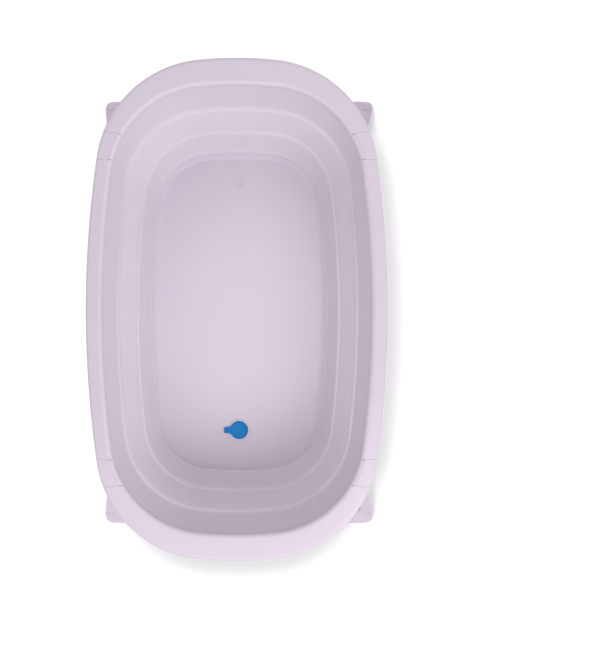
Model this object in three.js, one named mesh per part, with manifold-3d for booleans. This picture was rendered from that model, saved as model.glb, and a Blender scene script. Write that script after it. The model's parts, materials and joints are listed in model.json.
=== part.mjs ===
// A foldable baby bathtub, 80 by 48 cm. A moulded rim carries a collapsible wall of three nested
// bands and a rigid base pan with a drain. Pushing the base up folds the middle band up between the
// other two. Two splayed leg frames swing on pins under the rim, and tuck below the folded tub.
//
// Millimetres, +Z up. The origin is on the floor under the middle of the rim. +Y is the head end,
// -Y is the foot end with the drain, and +X is the right side seen from above.

import * as THREE from "three";
import { mergeVertices } from "three/addons/utils/BufferGeometryUtils.js";
import Module from "manifold-3d";

const wasm = await Module();
wasm.setup();

// Overall size

const LENGTH = 800;
const WIDTH = 480;
const HEIGHT = 230;
const BASE_CLEAR = 20; // clear height under the base

// Clearances and cutting

const GAP = 0.35; // between two pieces that touch, nest or turn on each other
const OVERRUN = 6; // how far a cutting solid runs past what it cuts

// Every outline seen from above is an oval of three tangent arcs in each quarter

const OUTLINE = {
  sideRadius: 1700,
  endRadius: 600,
  cornerSetback: 59, // the corner arc's radius is the half width less this
};
const STEPS = { side: 3, corner: 6, end: 3, round: 24, axle: 16, small: 12, screw: 8 };

// Rim

const RIM = {
  sideWidth: 26,
  endWidth: 43,
  wall: 2.6,
  skirt: 30, // from the top of the rim down to the edge of the outer skirt
  lip: 13, // from the top of the rim down to the edge of the inner lip
  beadWidth: 5,
  beadRound: 1.5,
  beadDrop: 4.5,
  outerFall: 2, // how much lower the flange is near its outer edge
  edgeFlat: 8, // width of the rounded outer edge
  edgeRound: 2,
  edgeDrop: 7,
};

// Collapsible wall. Each band narrows towards its lower edge by its side run and end run.

const WALL = {
  thickness: 2.4,
  topThickness: 3.65, // the bead along the top of the two lower bands
  beadBevel: 1,
  overlap: 4, // how far a band hangs below the ledge that the next one makes
};
const UPPER = { sideRun: 16, endRun: 26, drop: 66.5, flangeWidth: 11, flangeThickness: 2.8 };
const FOLD = { sideRun: 21.6, endRun: 22, drop: 65.5 };
const LOWER = { sideRun: 15.4, endRun: 24, lap: 8 };
const CLAMP = { wallClear: 0.6, thickness: 4, bossRadius: 3.4 };
const CLAMP_SCREWS = { sideShares: [0.15, 0.5], endShare: 0.38 };

// Base pan and drain

const PAN = {
  wall: 2.6,
  depth: 14, // from the top edge of the pan down to its floor
  floor: 3,
  cornerRun: 12, // how far the rounded foot of the wall reaches in over the floor
  cornerMid: 4,
  cornerMidHeight: 4,
  skirtInset: 12,
  skirtWall: 3,
  skirtDepth: 17,
  rib: 2.5,
  ribDepth: 9,
  ribPitch: 84,
  crossRibs: 5,
};
const DRAIN = {
  endInset: 194, // from the end of the rim to the middle of the drain
  boreRadius: 10.5,
  tubeWall: 2.2,
  tubeDepth: 15,
  seatWidth: 6.3,
  seatThickness: 1.4,
  nutWall: 4,
  nutThickness: 6,
  padWidth: 8,
  padDepth: 2,
};
const PLUG = {
  radius: 15.7,
  thickness: 3.2,
  bevel: 0.8,
  bungTaper: 0.9,
  bungDepth: 9,
  tabReach: 26,
  tabRadius: 5,
  tabThickness: 2.2,
};

// Hinges under the rim

const HINGE = {
  endInset: 140, // from the end of the rim to the pivot
  headClear: 2, // from the leg's round head up to the bracket's plate
  capHalf: 22.5, // half the length of the cap let into the rim
  capTilt: THREE.MathUtils.degToRad(8.3), // turn of the cap's outer seam
  plateInset: 3, // from the inner edge of the rim out to the bracket's plate
  plateHalf: 24,
  plateThickness: 5.5,
  plateDrop: 2, // how far the plate stands below the rim's skirt
  ear: 4.2,
  earHalf: 10,
  pinRadius: 3.75,
  pinHeadRadius: 6,
  pinHead: 2,
  bossInset: 11.5,
  bossEdge: 3.7, // from a boss to the end of the cap
  bossRadius: 3.6,
};

// Leg frames

const LEG = {
  splay: THREE.MathUtils.degToRad(29.6),
  sideInset: 6.5, // from the side of the rim in to the outer face of the foot
  headRadius: 11,
  headWidth: 13,
  noseReach: 11,
  footWidth: 22,
  thickness: 18,
  barDepth: 24,
  straight: 22, // how far the arm runs straight below the pivot
  cornerRadius: 16,
  innerRadius: 10,
};
const PAD = {
  height: 4,
  length: 46,
  inset: 3,
  round: 5,
  stemRadius: 3,
  stemHeight: 6,
  stemSpacing: 22,
};

const SCREW = { headRadius: 3.2, head: 2.2, shankRadius: 1.6, tip: 1.5, bite: 6 };

// Sizes that follow from the sizes above

const screwHole = SCREW.shankRadius + GAP;
const pinBore = HINGE.pinRadius + GAP;
const clampInset = WALL.thickness + CLAMP.wallClear;
const tubeRadius = DRAIN.boreRadius + DRAIN.tubeWall;
const seatRadius = tubeRadius + DRAIN.seatWidth;

// Heights that follow from the sizes above

const upperTop = HEIGHT - RIM.lip - GAP;
const upperLedge = HEIGHT - UPPER.drop;
const lowerLedge = upperLedge - FOLD.drop;
const floorUnder = BASE_CLEAR + PAN.skirtDepth;
const floorTop = floorUnder + PAN.floor;
const panEdge = floorTop + PAN.depth;
const skirtEdge = HEIGHT - RIM.skirt;
const bossTop = HEIGHT - RIM.outerFall - RIM.wall / 2; // inside the rim's flange
const rimBossUnder = HEIGHT - RIM.lip;
const plateUnder = skirtEdge - HINGE.plateDrop;
const plateTop = plateUnder + HINGE.plateThickness;
const capBossUnder = plateTop + GAP;
const pivotY = LENGTH / 2 - HINGE.endInset;
const pivotZ = plateUnder - HINGE.headClear - LEG.headRadius;

// Ovals

// An oval of three tangent arcs a quarter: a long one across the side, the corner, and the end.
function oval(halfWidth, halfLength) {
  const corner = halfWidth - OUTLINE.cornerSetback;
  const sideX = halfWidth - OUTLINE.sideRadius;
  const endY = halfLength - OUTLINE.endRadius;
  const toSide = OUTLINE.sideRadius - corner;
  const toEnd = OUTLINE.endRadius - corner;
  const apart = Math.hypot(sideX, endY);
  const along = (toSide ** 2 - toEnd ** 2 + apart ** 2) / (2 * apart);
  const across = Math.sqrt(toSide ** 2 - along ** 2);
  const ux = -sideX / apart;
  const uy = endY / apart;
  const centres = [1, -1].map(
    (sign) =>
      new THREE.Vector2(sideX + along * ux - sign * across * uy, along * uy + sign * across * ux),
  );
  const centre = centres[0].x + centres[0].y > centres[1].x + centres[1].y ? centres[0] : centres[1];
  return {
    side: { x: sideX, y: 0, radius: OUTLINE.sideRadius },
    corner: { x: centre.x, y: centre.y, radius: corner },
    end: { x: 0, y: endY, radius: OUTLINE.endRadius },
    sideTurn: Math.atan2(centre.y, centre.x - sideX),
    endTurn: Math.atan2(centre.y - endY, centre.x),
  };
}

// The same oval moved outwards everywhere by one distance.
function grow(base, distance) {
  const bigger = (arc) => ({ ...arc, radius: arc.radius + distance });
  return { ...base, side: bigger(base.side), corner: bigger(base.corner), end: bigger(base.end) };
}

function arcPoints(arc, from, to, steps) {
  return Array.from({ length: steps }, (_, i) => {
    const turn = from + ((to - from) * i) / steps;
    return new THREE.Vector2(
      arc.x + arc.radius * Math.cos(turn),
      arc.y + arc.radius * Math.sin(turn),
    );
  });
}

// The oval's points, anticlockwise from the middle of the right side.
function ovalLoop(o) {
  const quarter = [
    ...arcPoints(o.side, 0, o.sideTurn, STEPS.side),
    ...arcPoints(o.corner, o.sideTurn, o.endTurn, STEPS.corner),
    ...arcPoints(o.end, o.endTurn, Math.PI / 2, STEPS.end),
    new THREE.Vector2(0, o.end.y + o.end.radius),
  ];
  const rising = quarter.slice(0, -1);
  const falling = quarter.slice(1).reverse();
  const flipped = (points, sx, sy) => points.map((p) => new THREE.Vector2(p.x * sx, p.y * sy));
  return [
    ...rising,
    ...flipped(falling, -1, 1),
    ...flipped(rising, -1, -1),
    ...flipped(falling, 1, -1),
  ];
}

// Where the oval's right side crosses a given Y, and where its head end crosses a given X.
function xAt(o, y) {
  const arc = y < o.side.radius * Math.sin(o.sideTurn) ? o.side : o.corner;
  return arc.x + Math.sqrt(arc.radius ** 2 - (y - arc.y) ** 2);
}
function yAt(o, x) {
  const arc = x < o.end.radius * Math.cos(o.endTurn) ? o.end : o.corner;
  return arc.y + Math.sqrt(arc.radius ** 2 - (x - arc.x) ** 2);
}

// The outlines that the pieces share

const rimOuter = oval(WIDTH / 2, LENGTH / 2);
const innerHalf = { x: WIDTH / 2 - RIM.sideWidth, y: LENGTH / 2 - RIM.endWidth };
const rimInner = oval(innerHalf.x, innerHalf.y);
const upperHalf = { x: innerHalf.x - UPPER.sideRun, y: innerHalf.y - UPPER.endRun };
const upperFoot = oval(upperHalf.x, upperHalf.y);
const ledge = GAP + WALL.topThickness;
const foldHalf = { x: upperHalf.x - ledge - FOLD.sideRun, y: upperHalf.y - ledge - FOLD.endRun };
const foldFoot = oval(foldHalf.x, foldHalf.y);
const panHalf = { x: foldHalf.x - ledge - LOWER.sideRun, y: foldHalf.y - ledge - LOWER.endRun };
const panOuter = grow(oval(panHalf.x, panHalf.y), -GAP);

// Solids

function solidFrom(geometry) {
  const bare = geometry.index ? geometry.toNonIndexed() : geometry.clone();
  bare.deleteAttribute("normal");
  bare.deleteAttribute("uv");
  const merged = mergeVertices(bare);
  const vertProperties = merged.attributes.position.array;
  const triVerts = new Uint32Array(merged.index.array);
  return new wasm.Manifold(new wasm.Mesh({ numProp: 3, vertProperties, triVerts }));
}

function geometryFrom(solid) {
  const mesh = solid.getMesh();
  const geometry = new THREE.BufferGeometry();
  geometry.setAttribute("position", new THREE.BufferAttribute(mesh.vertProperties, 3));
  geometry.setIndex(new THREE.BufferAttribute(mesh.triVerts, 1));
  const flat = geometry.toNonIndexed();
  flat.computeVertexNormals();
  return flat;
}

function joined(first, ...others) {
  return others.reduce((all, next) => all.add(next), first);
}

function turnFacesRound(index) {
  for (let i = 0; i < index.length; i += 3) {
    [index[i + 1], index[i + 2]] = [index[i + 2], index[i + 1]];
  }
}

function signedVolume(points, index) {
  let sum = 0;
  for (let i = 0; i < index.length; i += 3) {
    const [a, b, c] = [points[index[i]], points[index[i + 1]], points[index[i + 2]]];
    sum += a.dot(b.clone().cross(c));
  }
  return sum;
}

// A closed surface from points and triangles, with its faces turned to point out.
function closedGeometry(points, index) {
  if (signedVolume(points, index) < 0) turnFacesRound(index);
  const geometry = new THREE.BufferGeometry().setFromPoints(points);
  geometry.setIndex(index);
  return geometry;
}

// Triangles between each loop of a stack and the next. A closed stack also joins its last to its first.
function stackFaces(rows, columns, closed) {
  const index = [];
  for (let j = 0; j < (closed ? rows : rows - 1); j++) {
    for (let i = 0; i < columns; i++) {
      const a = j * columns + i;
      const b = j * columns + ((i + 1) % columns);
      const c = ((j + 1) % rows) * columns + i;
      const d = ((j + 1) % rows) * columns + ((i + 1) % columns);
      index.push(a, b, d, a, d, c);
    }
  }
  return index;
}

// A ring whose cross-section is the closed list of stations, each an oval and a height.
function ovalRing(stations) {
  const loops = stations.map(([o, z]) => ovalLoop(o).map((p) => new THREE.Vector3(p.x, p.y, z)));
  return solidFrom(closedGeometry(loops.flat(), stackFaces(loops.length, loops[0].length, true)));
}

// A solid plate, dish or plug: stations from its bottom face, round its edge, to its top face.
function ovalDish(stations) {
  const loops = stations.map(([o, z]) => ovalLoop(o).map((p) => new THREE.Vector3(p.x, p.y, z)));
  const columns = loops[0].length;
  const points = loops.flat();
  const index = stackFaces(loops.length, columns, false);
  const last = (loops.length - 1) * columns;
  const bottom = points.push(new THREE.Vector3(0, 0, stations[0][1])) - 1;
  const top = points.push(new THREE.Vector3(0, 0, stations[stations.length - 1][1])) - 1;
  for (let i = 0; i < columns; i++) {
    const next = (i + 1) % columns;
    index.push(bottom, next, i, top, last + i, last + next);
  }
  return solidFrom(closedGeometry(points, index));
}

function boxBetween(low, high) {
  const size = high.clone().sub(low);
  const middle = high.clone().add(low).divideScalar(2);
  return solidFrom(
    new THREE.BoxGeometry(size.x, size.y, size.z).translate(middle.x, middle.y, middle.z),
  );
}

// An upright cylinder from one height to another.
function post(x, y, radius, low, high, sides = STEPS.small) {
  const geometry = new THREE.CylinderGeometry(radius, radius, high - low, sides);
  return solidFrom(geometry.rotateX(Math.PI / 2).translate(x, y, (low + high) / 2));
}

// A post with as few sides as the screws have.
function screwPost(x, y, radius, low, high) {
  return post(x, y, radius, low, high, STEPS.screw);
}

// The blind hole that a screw bites into, from the underside of its boss.
function blindHole(x, y, bossUnder) {
  return screwPost(x, y, screwHole, bossUnder - OVERRUN, bossUnder + SCREW.bite + GAP);
}

// A cylinder along X.
function axle(y, z, radius, low, high) {
  const geometry = new THREE.CylinderGeometry(radius, radius, high - low, STEPS.axle);
  return solidFrom(geometry.rotateZ(Math.PI / 2).translate((low + high) / 2, y, z));
}

// A solid of revolution about the upright axis at the origin, from its outline.
function turned(outline, sides = STEPS.round) {
  const points = outline.map(([radius, z]) => new THREE.Vector2(radius, z));
  return solidFrom(new THREE.LatheGeometry(points, sides).rotateX(Math.PI / 2));
}

// The right head quarter is modelled, and the other three are its mirror images.
function mirrored(solid, sx, sy) {
  const geometry = geometryFrom(solid).applyMatrix4(new THREE.Matrix4().makeScale(sx, sy, 1));
  if (sx * sy > 0) return solidFrom(geometry);
  const turnedRound = mergeVertices(geometry.deleteAttribute("normal"));
  turnFacesRound(turnedRound.index.array);
  return solidFrom(turnedRound);
}

const QUARTERS = [
  { name: "head_left", sx: -1, sy: 1 },
  { name: "head_right", sx: 1, sy: 1 },
  { name: "foot_left", sx: -1, sy: -1 },
  { name: "foot_right", sx: 1, sy: -1 },
];

// Colours and materials

const tubPlastic = new THREE.MeshStandardMaterial({ color: 0xdccfe0, roughness: 0.5 });
const wallRubber = new THREE.MeshStandardMaterial({ color: 0xd6c8da, roughness: 0.62 });
const hiddenPlastic = new THREE.MeshStandardMaterial({ color: 0xcfc3d4, roughness: 0.55 });
const plugRubber = new THREE.MeshStandardMaterial({ color: 0x2178c0, roughness: 0.45 });
const gripRubber = new THREE.MeshStandardMaterial({ color: 0xe9e7ea, roughness: 0.8 });
const steel = new THREE.MeshStandardMaterial({ color: 0xb9bcc0, roughness: 0.35, metalness: 1 });

// The rim, the wall, the base with its drain, and the two leg frames are groups of the whole tub.

const bathtub = new THREE.Group();

function addGroup(parent, position = new THREE.Vector3()) {
  const group = new THREE.Group();
  group.position.copy(position);
  parent.add(group);
  return group;
}

function addPiece(parent, name, solid, material, position = new THREE.Vector3()) {
  const mesh = new THREE.Mesh(geometryFrom(solid), material.clone());
  mesh.name = name;
  mesh.position.copy(position);
  parent.add(mesh);
  return mesh;
}

const rimGroup = addGroup(bathtub);
const wallGroup = addGroup(bathtub);
const baseGroup = addGroup(bathtub);
const drainGroup = addGroup(baseGroup, new THREE.Vector3(0, DRAIN.endInset - LENGTH / 2, floorTop));
const legGroups = { head: addGroup(bathtub), foot: addGroup(bathtub) };

// Rim shell, with a recessed seat for each hinge cap

// The top side of the rim, from its inner lip to the edge of its outer skirt, sunk by a depth.
function rimSkin(depth) {
  return [
    [grow(rimInner, depth), HEIGHT - RIM.beadDrop - depth],
    [grow(rimInner, RIM.beadRound + depth), HEIGHT - RIM.beadRound - depth],
    [grow(rimInner, RIM.beadWidth + depth), HEIGHT - depth],
    [grow(rimOuter, -RIM.edgeFlat), HEIGHT - RIM.outerFall - depth],
    [grow(rimOuter, -RIM.edgeRound - depth), HEIGHT - RIM.outerFall - RIM.edgeRound - depth],
    [grow(rimOuter, -depth), HEIGHT - RIM.edgeDrop - depth],
  ];
}

function rimLayer(outerDepth, innerDepth) {
  return ovalRing([
    [grow(rimInner, outerDepth), HEIGHT - RIM.lip],
    ...rimSkin(outerDepth),
    [grow(rimOuter, -outerDepth), skirtEdge],
    [grow(rimOuter, -innerDepth), skirtEdge],
    ...rimSkin(innerDepth).reverse(),
    [grow(rimInner, innerDepth), HEIGHT - RIM.lip],
  ]);
}

// The space of the four hinge caps, seen from above, widened on every side by a margin.
function capSpaces(margin) {
  const near = pivotY - HINGE.capHalf - margin;
  const far = pivotY + HINGE.capHalf;
  const outerX = WIDTH / 2 + OVERRUN;
  const slope = Math.tan(HINGE.capTilt);
  const farAt = (x) => far + (x - xAt(rimOuter, far)) * slope + margin / Math.cos(HINGE.capTilt);
  const shape = new THREE.Shape([
    new THREE.Vector2(0, near),
    new THREE.Vector2(outerX, near),
    new THREE.Vector2(outerX, farAt(outerX)),
    new THREE.Vector2(0, farAt(0)),
  ]);
  const depth = HEIGHT + OVERRUN;
  const wedge = solidFrom(new THREE.ExtrudeGeometry(shape, { depth, bevelEnabled: false }));
  const bead = grow(rimInner, RIM.beadWidth + RIM.beadRound - margin);
  const kept = ovalDish([
    [bead, -OVERRUN],
    [bead, depth + OVERRUN],
  ]);
  return QUARTERS.map(({ sx, sy }) => mirrored(wedge.subtract(kept), sx, sy));
}

// The hinge cap's two screw bosses stand at the same distance on each side of the pivot.
const bossOffset = HINGE.capHalf - HINGE.bossEdge - HINGE.bossRadius;
const bossPlaces = [-bossOffset, bossOffset].map((offset) => {
  const y = pivotY + offset;
  return new THREE.Vector2(xAt(grow(rimOuter, -HINGE.bossInset), y), y);
});

// The clearance that the bosses need through what they pass.
function capBossHoles(low, high) {
  const holes = QUARTERS.flatMap(({ sx, sy }) =>
    bossPlaces.map(({ x, y }) => post(x * sx, y * sy, HINGE.bossRadius + GAP, low, high)),
  );
  return joined(...holes);
}

// Twelve places for the screws that clamp the wall under the rim.
function clampScrewPlaces() {
  const line = grow(rimInner, (clampInset + UPPER.flangeWidth) / 2);
  const places = [];
  for (const share of CLAMP_SCREWS.sideShares) {
    const y = innerHalf.y * share;
    places.push([xAt(line, y), y]);
  }
  const x = innerHalf.x * CLAMP_SCREWS.endShare;
  places.push([x, yAt(line, x)]);
  return QUARTERS.flatMap(({ sx, sy }) => places.map(([px, py]) => [px * sx, py * sy]));
}

function rimShell() {
  const seatDepth = RIM.wall + GAP;
  const plain = rimLayer(0, RIM.wall);
  const sunk = rimLayer(seatDepth, seatDepth + RIM.wall);
  const thick = rimLayer(0, seatDepth + RIM.wall);
  const spaces = joined(...capSpaces(0));
  const aroundSpaces = joined(...capSpaces(RIM.wall));
  let shell = plain
    .subtract(spaces)
    .add(sunk.intersect(aroundSpaces))
    .add(thick.intersect(aroundSpaces.subtract(spaces)))
    .subtract(capBossHoles(skirtEdge, HEIGHT + OVERRUN));
  for (const [x, y] of clampScrewPlaces()) {
    shell = shell.add(screwPost(x, y, CLAMP.bossRadius, rimBossUnder, bossTop));
    shell = shell.subtract(blindHole(x, y, rimBossUnder));
  }
  return shell;
}
addPiece(rimGroup, "rim_shell", rimShell(), tubPlastic);

// Hinge caps

function hingeCaps() {
  const skin = rimLayer(0, RIM.wall);
  return capSpaces(-GAP).map((space, i) => {
    const { sx, sy } = QUARTERS[i];
    let cap = skin.intersect(space);
    for (const { x, y } of bossPlaces) {
      cap = cap.add(post(x * sx, y * sy, HINGE.bossRadius, capBossUnder, bossTop));
      cap = cap.subtract(blindHole(x * sx, y * sy, capBossUnder));
    }
    return cap;
  });
}
hingeCaps().forEach((cap, i) => {
  addPiece(rimGroup, `hinge_cap_${QUARTERS[i].name}`, cap, tubPlastic);
});

// Collapsible wall

function upperBand() {
  const flangeUnder = upperTop - UPPER.flangeThickness;
  let band = ovalRing([
    [rimInner, upperTop],
    [grow(rimInner, UPPER.flangeWidth), upperTop],
    [grow(rimInner, UPPER.flangeWidth), flangeUnder],
    [grow(rimInner, WALL.thickness), flangeUnder],
    [grow(upperFoot, WALL.thickness), upperLedge],
    [grow(upperFoot, WALL.thickness), upperLedge - WALL.overlap],
    [upperFoot, upperLedge - WALL.overlap],
    [upperFoot, upperLedge],
    [rimInner, flangeUnder],
  ]).subtract(capBossHoles(flangeUnder - OVERRUN, upperTop + OVERRUN));
  for (const [x, y] of clampScrewPlaces()) {
    band = band.subtract(screwPost(x, y, screwHole, flangeUnder - OVERRUN, upperTop + OVERRUN));
  }
  return band;
}

// A band with a thick bead along its top that nests inside the foot of the band above it.
function nestedBand(above, top, foot, footThickness, bendHeight, footHeight) {
  const outside = grow(above, -GAP);
  return ovalRing([
    [outside, top - WALL.overlap],
    [outside, top - WALL.beadBevel],
    [grow(outside, -WALL.beadBevel), top],
    [grow(outside, WALL.beadBevel - WALL.topThickness), top],
    [grow(outside, -WALL.topThickness), top - WALL.beadBevel],
    [foot, bendHeight],
    [foot, footHeight],
    [grow(foot, footThickness), footHeight],
    [grow(foot, footThickness), bendHeight],
  ]);
}

const foldBand = nestedBand(
  upperFoot,
  upperLedge,
  foldFoot,
  WALL.thickness,
  lowerLedge,
  lowerLedge - WALL.overlap,
);
const lowerBand = nestedBand(
  foldFoot,
  lowerLedge,
  grow(panOuter, GAP),
  WALL.thickness,
  panEdge,
  panEdge - LOWER.lap,
);
addPiece(wallGroup, "wall_upper_band", upperBand(), wallRubber);
addPiece(wallGroup, "wall_fold_band", foldBand, wallRubber);
addPiece(wallGroup, "wall_lower_band", lowerBand, wallRubber);

// Clamp ring under the rim, with its screws

const clampTop = upperTop - UPPER.flangeThickness - GAP;
const clampUnder = clampTop - CLAMP.thickness;

function clampRing() {
  const inner = grow(rimInner, clampInset);
  const outer = grow(rimInner, UPPER.flangeWidth);
  let ring = ovalRing([
    [inner, clampTop],
    [outer, clampTop],
    [outer, clampUnder],
    [inner, clampUnder],
  ]).subtract(capBossHoles(clampUnder - OVERRUN, clampTop + OVERRUN));
  for (const [x, y] of clampScrewPlaces()) {
    ring = ring.subtract(screwPost(x, y, screwHole, clampUnder - OVERRUN, clampTop + OVERRUN));
  }
  return ring;
}
addPiece(wallGroup, "wall_clamp_ring", clampRing(), hiddenPlastic);

// A pan-head screw that points up from the top face of its head.
function screw(reach) {
  return turned(
    [
      [0, -SCREW.head],
      [SCREW.headRadius - SCREW.head / 2, -SCREW.head],
      [SCREW.headRadius, -SCREW.head / 2],
      [SCREW.headRadius, 0],
      [SCREW.shankRadius, 0],
      [SCREW.shankRadius, reach - SCREW.tip],
      [0, reach],
    ],
    STEPS.screw,
  );
}

// Drives a screw up from under a seat, until its tip bites into the boss above.
function addScrew(parent, name, x, y, seat, bossUnder) {
  const head = seat - GAP;
  addPiece(parent, name, screw(bossUnder + SCREW.bite - head), steel, new THREE.Vector3(x, y, head));
}

clampScrewPlaces().forEach(([x, y], i) => {
  const number = String(i + 1).padStart(2, "0");
  addScrew(wallGroup, `clamp_screw_${number}`, x, y, clampUnder, rimBossUnder);
});

// Base pan

function panRibs() {
  const inside = grow(panOuter, -PAN.skirtInset - PAN.skirtWall / 2);
  const disc = ovalDish([
    [inside, floorUnder - PAN.ribDepth],
    [inside, floorTop - PAN.floor / 2],
  ]);
  const low = floorUnder - PAN.ribDepth - OVERRUN;
  const bar = (x, y, width, length) =>
    boxBetween(
      new THREE.Vector3(x - width / 2, y - length / 2, low),
      new THREE.Vector3(x + width / 2, y + length / 2, floorTop),
    );
  const bars = [-1, 1].map((side) => bar((side * PAN.ribPitch) / 2, 0, PAN.rib, LENGTH));
  for (let i = 0; i < PAN.crossRibs; i++) {
    const y = (i - (PAN.crossRibs - 1) / 2) * PAN.ribPitch;
    bars.push(bar(0, y, WIDTH, PAN.rib));
  }
  return joined(...bars).intersect(disc);
}

function basePan() {
  const at = (depth) => grow(panOuter, -depth);
  const shell = ovalDish([
    [at(PAN.cornerRun), floorUnder],
    [at(PAN.cornerMid), floorUnder + PAN.cornerMidHeight / 2],
    [at(0), floorTop + PAN.cornerMidHeight],
    [at(0), panEdge],
    [at(PAN.wall), panEdge],
    [at(PAN.wall), floorTop + PAN.cornerMidHeight * 2],
    [at(PAN.wall + PAN.cornerMid), floorTop + PAN.cornerMidHeight / 2],
    [at(PAN.wall + PAN.cornerRun), floorTop],
  ]);
  const skirt = ovalRing([
    [at(PAN.skirtInset), BASE_CLEAR],
    [at(PAN.skirtInset), floorTop - PAN.floor / 2],
    [at(PAN.skirtInset + PAN.skirtWall), floorTop - PAN.floor / 2],
    [at(PAN.skirtInset + PAN.skirtWall), BASE_CLEAR],
  ]);
  const drainY = drainGroup.position.y;
  const around = (radius, low, high) => post(0, drainY, radius, low, high, STEPS.round);
  const padUnder = floorUnder - DRAIN.padDepth;
  const padRadius = tubeRadius + DRAIN.padWidth;
  const pad = around(padRadius, padUnder, floorTop - PAN.floor / 2);
  const clearOfRibs = around(padRadius, BASE_CLEAR, padUnder);
  const hole = around(tubeRadius + GAP, BASE_CLEAR, floorTop + OVERRUN);
  const recess = around(seatRadius + GAP, floorTop - DRAIN.seatThickness, floorTop + OVERRUN);
  return joined(shell, skirt, panRibs(), pad).subtract(joined(clearOfRibs, hole, recess));
}
addPiece(baseGroup, "base_pan", basePan(), tubPlastic);

// Drain seat, nut and plug, with heights from the floor of the pan

const seatTop = GAP;
const seatUnder = seatTop - DRAIN.seatThickness;
const drainBottom = seatTop - DRAIN.tubeDepth;

const drainSeat = turned([
  [DRAIN.boreRadius, drainBottom],
  [tubeRadius, drainBottom],
  [tubeRadius, seatUnder],
  [seatRadius, seatUnder],
  [seatRadius, seatTop],
  [DRAIN.boreRadius, seatTop],
  [DRAIN.boreRadius, drainBottom],
]);
addPiece(drainGroup, "drain_seat", drainSeat, hiddenPlastic);

const nutTop = -PAN.floor - DRAIN.padDepth - GAP;
const nutUnder = nutTop - DRAIN.nutThickness;
const nutBore = tubeRadius + GAP;
const nutRadius = nutBore + DRAIN.nutWall;
const drainNut = turned([
  [nutBore, nutUnder],
  [nutRadius, nutUnder],
  [nutRadius, nutTop],
  [nutBore, nutTop],
  [nutBore, nutUnder],
]);
addPiece(drainGroup, "drain_nut", drainNut, hiddenPlastic);

// The plug: a disc on the seat, a tapered bung in the bore, and a drop-shaped finger tab to the left.
function drainPlug() {
  const under = seatTop + GAP;
  const bungRadius = DRAIN.boreRadius - GAP;
  const disc = turned([
    [0, under - PLUG.bungDepth],
    [bungRadius - PLUG.bungTaper, under - PLUG.bungDepth],
    [bungRadius, under],
    [PLUG.radius, under],
    [PLUG.radius, under + PLUG.thickness - PLUG.bevel],
    [PLUG.radius - PLUG.bevel, under + PLUG.thickness],
    [0, under + PLUG.thickness],
  ]);
  const rootRadius = PLUG.radius - PLUG.bevel;
  const tipX = PLUG.tabRadius - PLUG.tabReach;
  const turn = Math.PI - Math.acos((PLUG.tabRadius - rootRadius) / tipX);
  const tab = new THREE.Shape();
  tab.absarc(0, 0, rootRadius, turn, -turn, true);
  tab.absarc(tipX, 0, PLUG.tabRadius, -turn, turn, true);
  const tabGeometry = new THREE.ExtrudeGeometry(tab, {
    depth: PLUG.tabThickness,
    bevelEnabled: false,
    curveSegments: STEPS.small,
  });
  return disc.add(solidFrom(tabGeometry.translate(0, 0, under + PLUG.bevel)));
}
addPiece(drainGroup, "drain_plug", drainPlug(), plugRubber);

// Hinge brackets, pins and screws

const plateInner = grow(rimInner, HINGE.plateInset);
const plateOuter = grow(rimOuter, -2 * (RIM.wall + GAP)); // inside the skirt of the cap's seat
const pivotX = (xAt(plateInner, pivotY) + xAt(plateOuter, pivotY)) / 2;
const earInner = LEG.headWidth / 2 + GAP; // from the middle of the leg's head to the near side of an ear
const earOuter = earInner + HINGE.ear;

function hingeBracket() {
  const slab = boxBetween(
    new THREE.Vector3(0, pivotY - HINGE.plateHalf, plateUnder),
    new THREE.Vector3(WIDTH / 2, pivotY + HINGE.plateHalf, plateTop),
  );
  const track = ovalRing([
    [plateInner, plateUnder - OVERRUN],
    [plateOuter, plateUnder - OVERRUN],
    [plateOuter, plateTop + OVERRUN],
    [plateInner, plateTop + OVERRUN],
  ]);
  let bracket = slab.intersect(track);
  for (const [low, high] of [
    [pivotX - earOuter, pivotX - earInner],
    [pivotX + earInner, pivotX + earOuter],
  ]) {
    const cheek = boxBetween(
      new THREE.Vector3(low, pivotY - HINGE.earHalf, pivotZ),
      new THREE.Vector3(high, pivotY + HINGE.earHalf, skirtEdge - GAP),
    );
    bracket = joined(bracket, cheek, axle(pivotY, pivotZ, LEG.headRadius, low, high));
  }
  const reach = earOuter + OVERRUN;
  bracket = bracket.subtract(axle(pivotY, pivotZ, pinBore, pivotX - reach, pivotX + reach));
  for (const { x, y } of bossPlaces) {
    bracket = bracket.subtract(screwPost(x, y, screwHole, plateUnder - OVERRUN, plateTop + OVERRUN));
  }
  return bracket;
}

// The pin lies along X about its middle. Its head is on the outer side of the tub, and its plain end
// is flush with the inner ear.
function hingePin() {
  const headFace = earOuter + GAP;
  return joined(
    axle(0, 0, HINGE.pinRadius, -earOuter, headFace + HINGE.pinHead / 2),
    axle(0, 0, HINGE.pinHeadRadius, headFace, headFace + HINGE.pinHead),
  );
}

for (const { name, sx, sy } of QUARTERS) {
  addPiece(rimGroup, `hinge_bracket_${name}`, mirrored(hingeBracket(), sx, sy), hiddenPlastic);
  const pinPlace = new THREE.Vector3(pivotX * sx, pivotY * sy, pivotZ);
  const pin = addPiece(rimGroup, `hinge_pin_${name}`, hingePin(), steel, pinPlace);
  pin.rotation.z = sx > 0 ? 0 : Math.PI;
  bossPlaces.forEach(({ x, y }, i) => {
    addScrew(rimGroup, `bracket_screw_${name}_${i + 1}`, x * sx, y * sy, plateUnder, capBossUnder);
  });
}

// Leg frames: a flat U in a plane that leans outwards from the pivots, cut level above the pads

const footOuter = WIDTH / 2 - LEG.sideInset;
const footInner = footOuter - LEG.footWidth;
const footDepth = (pivotZ - PAD.height) / Math.cos(LEG.splay); // along the frame, pivot to the cut
const frameEnd = footDepth + LEG.thickness * Math.tan(LEG.splay);

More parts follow.
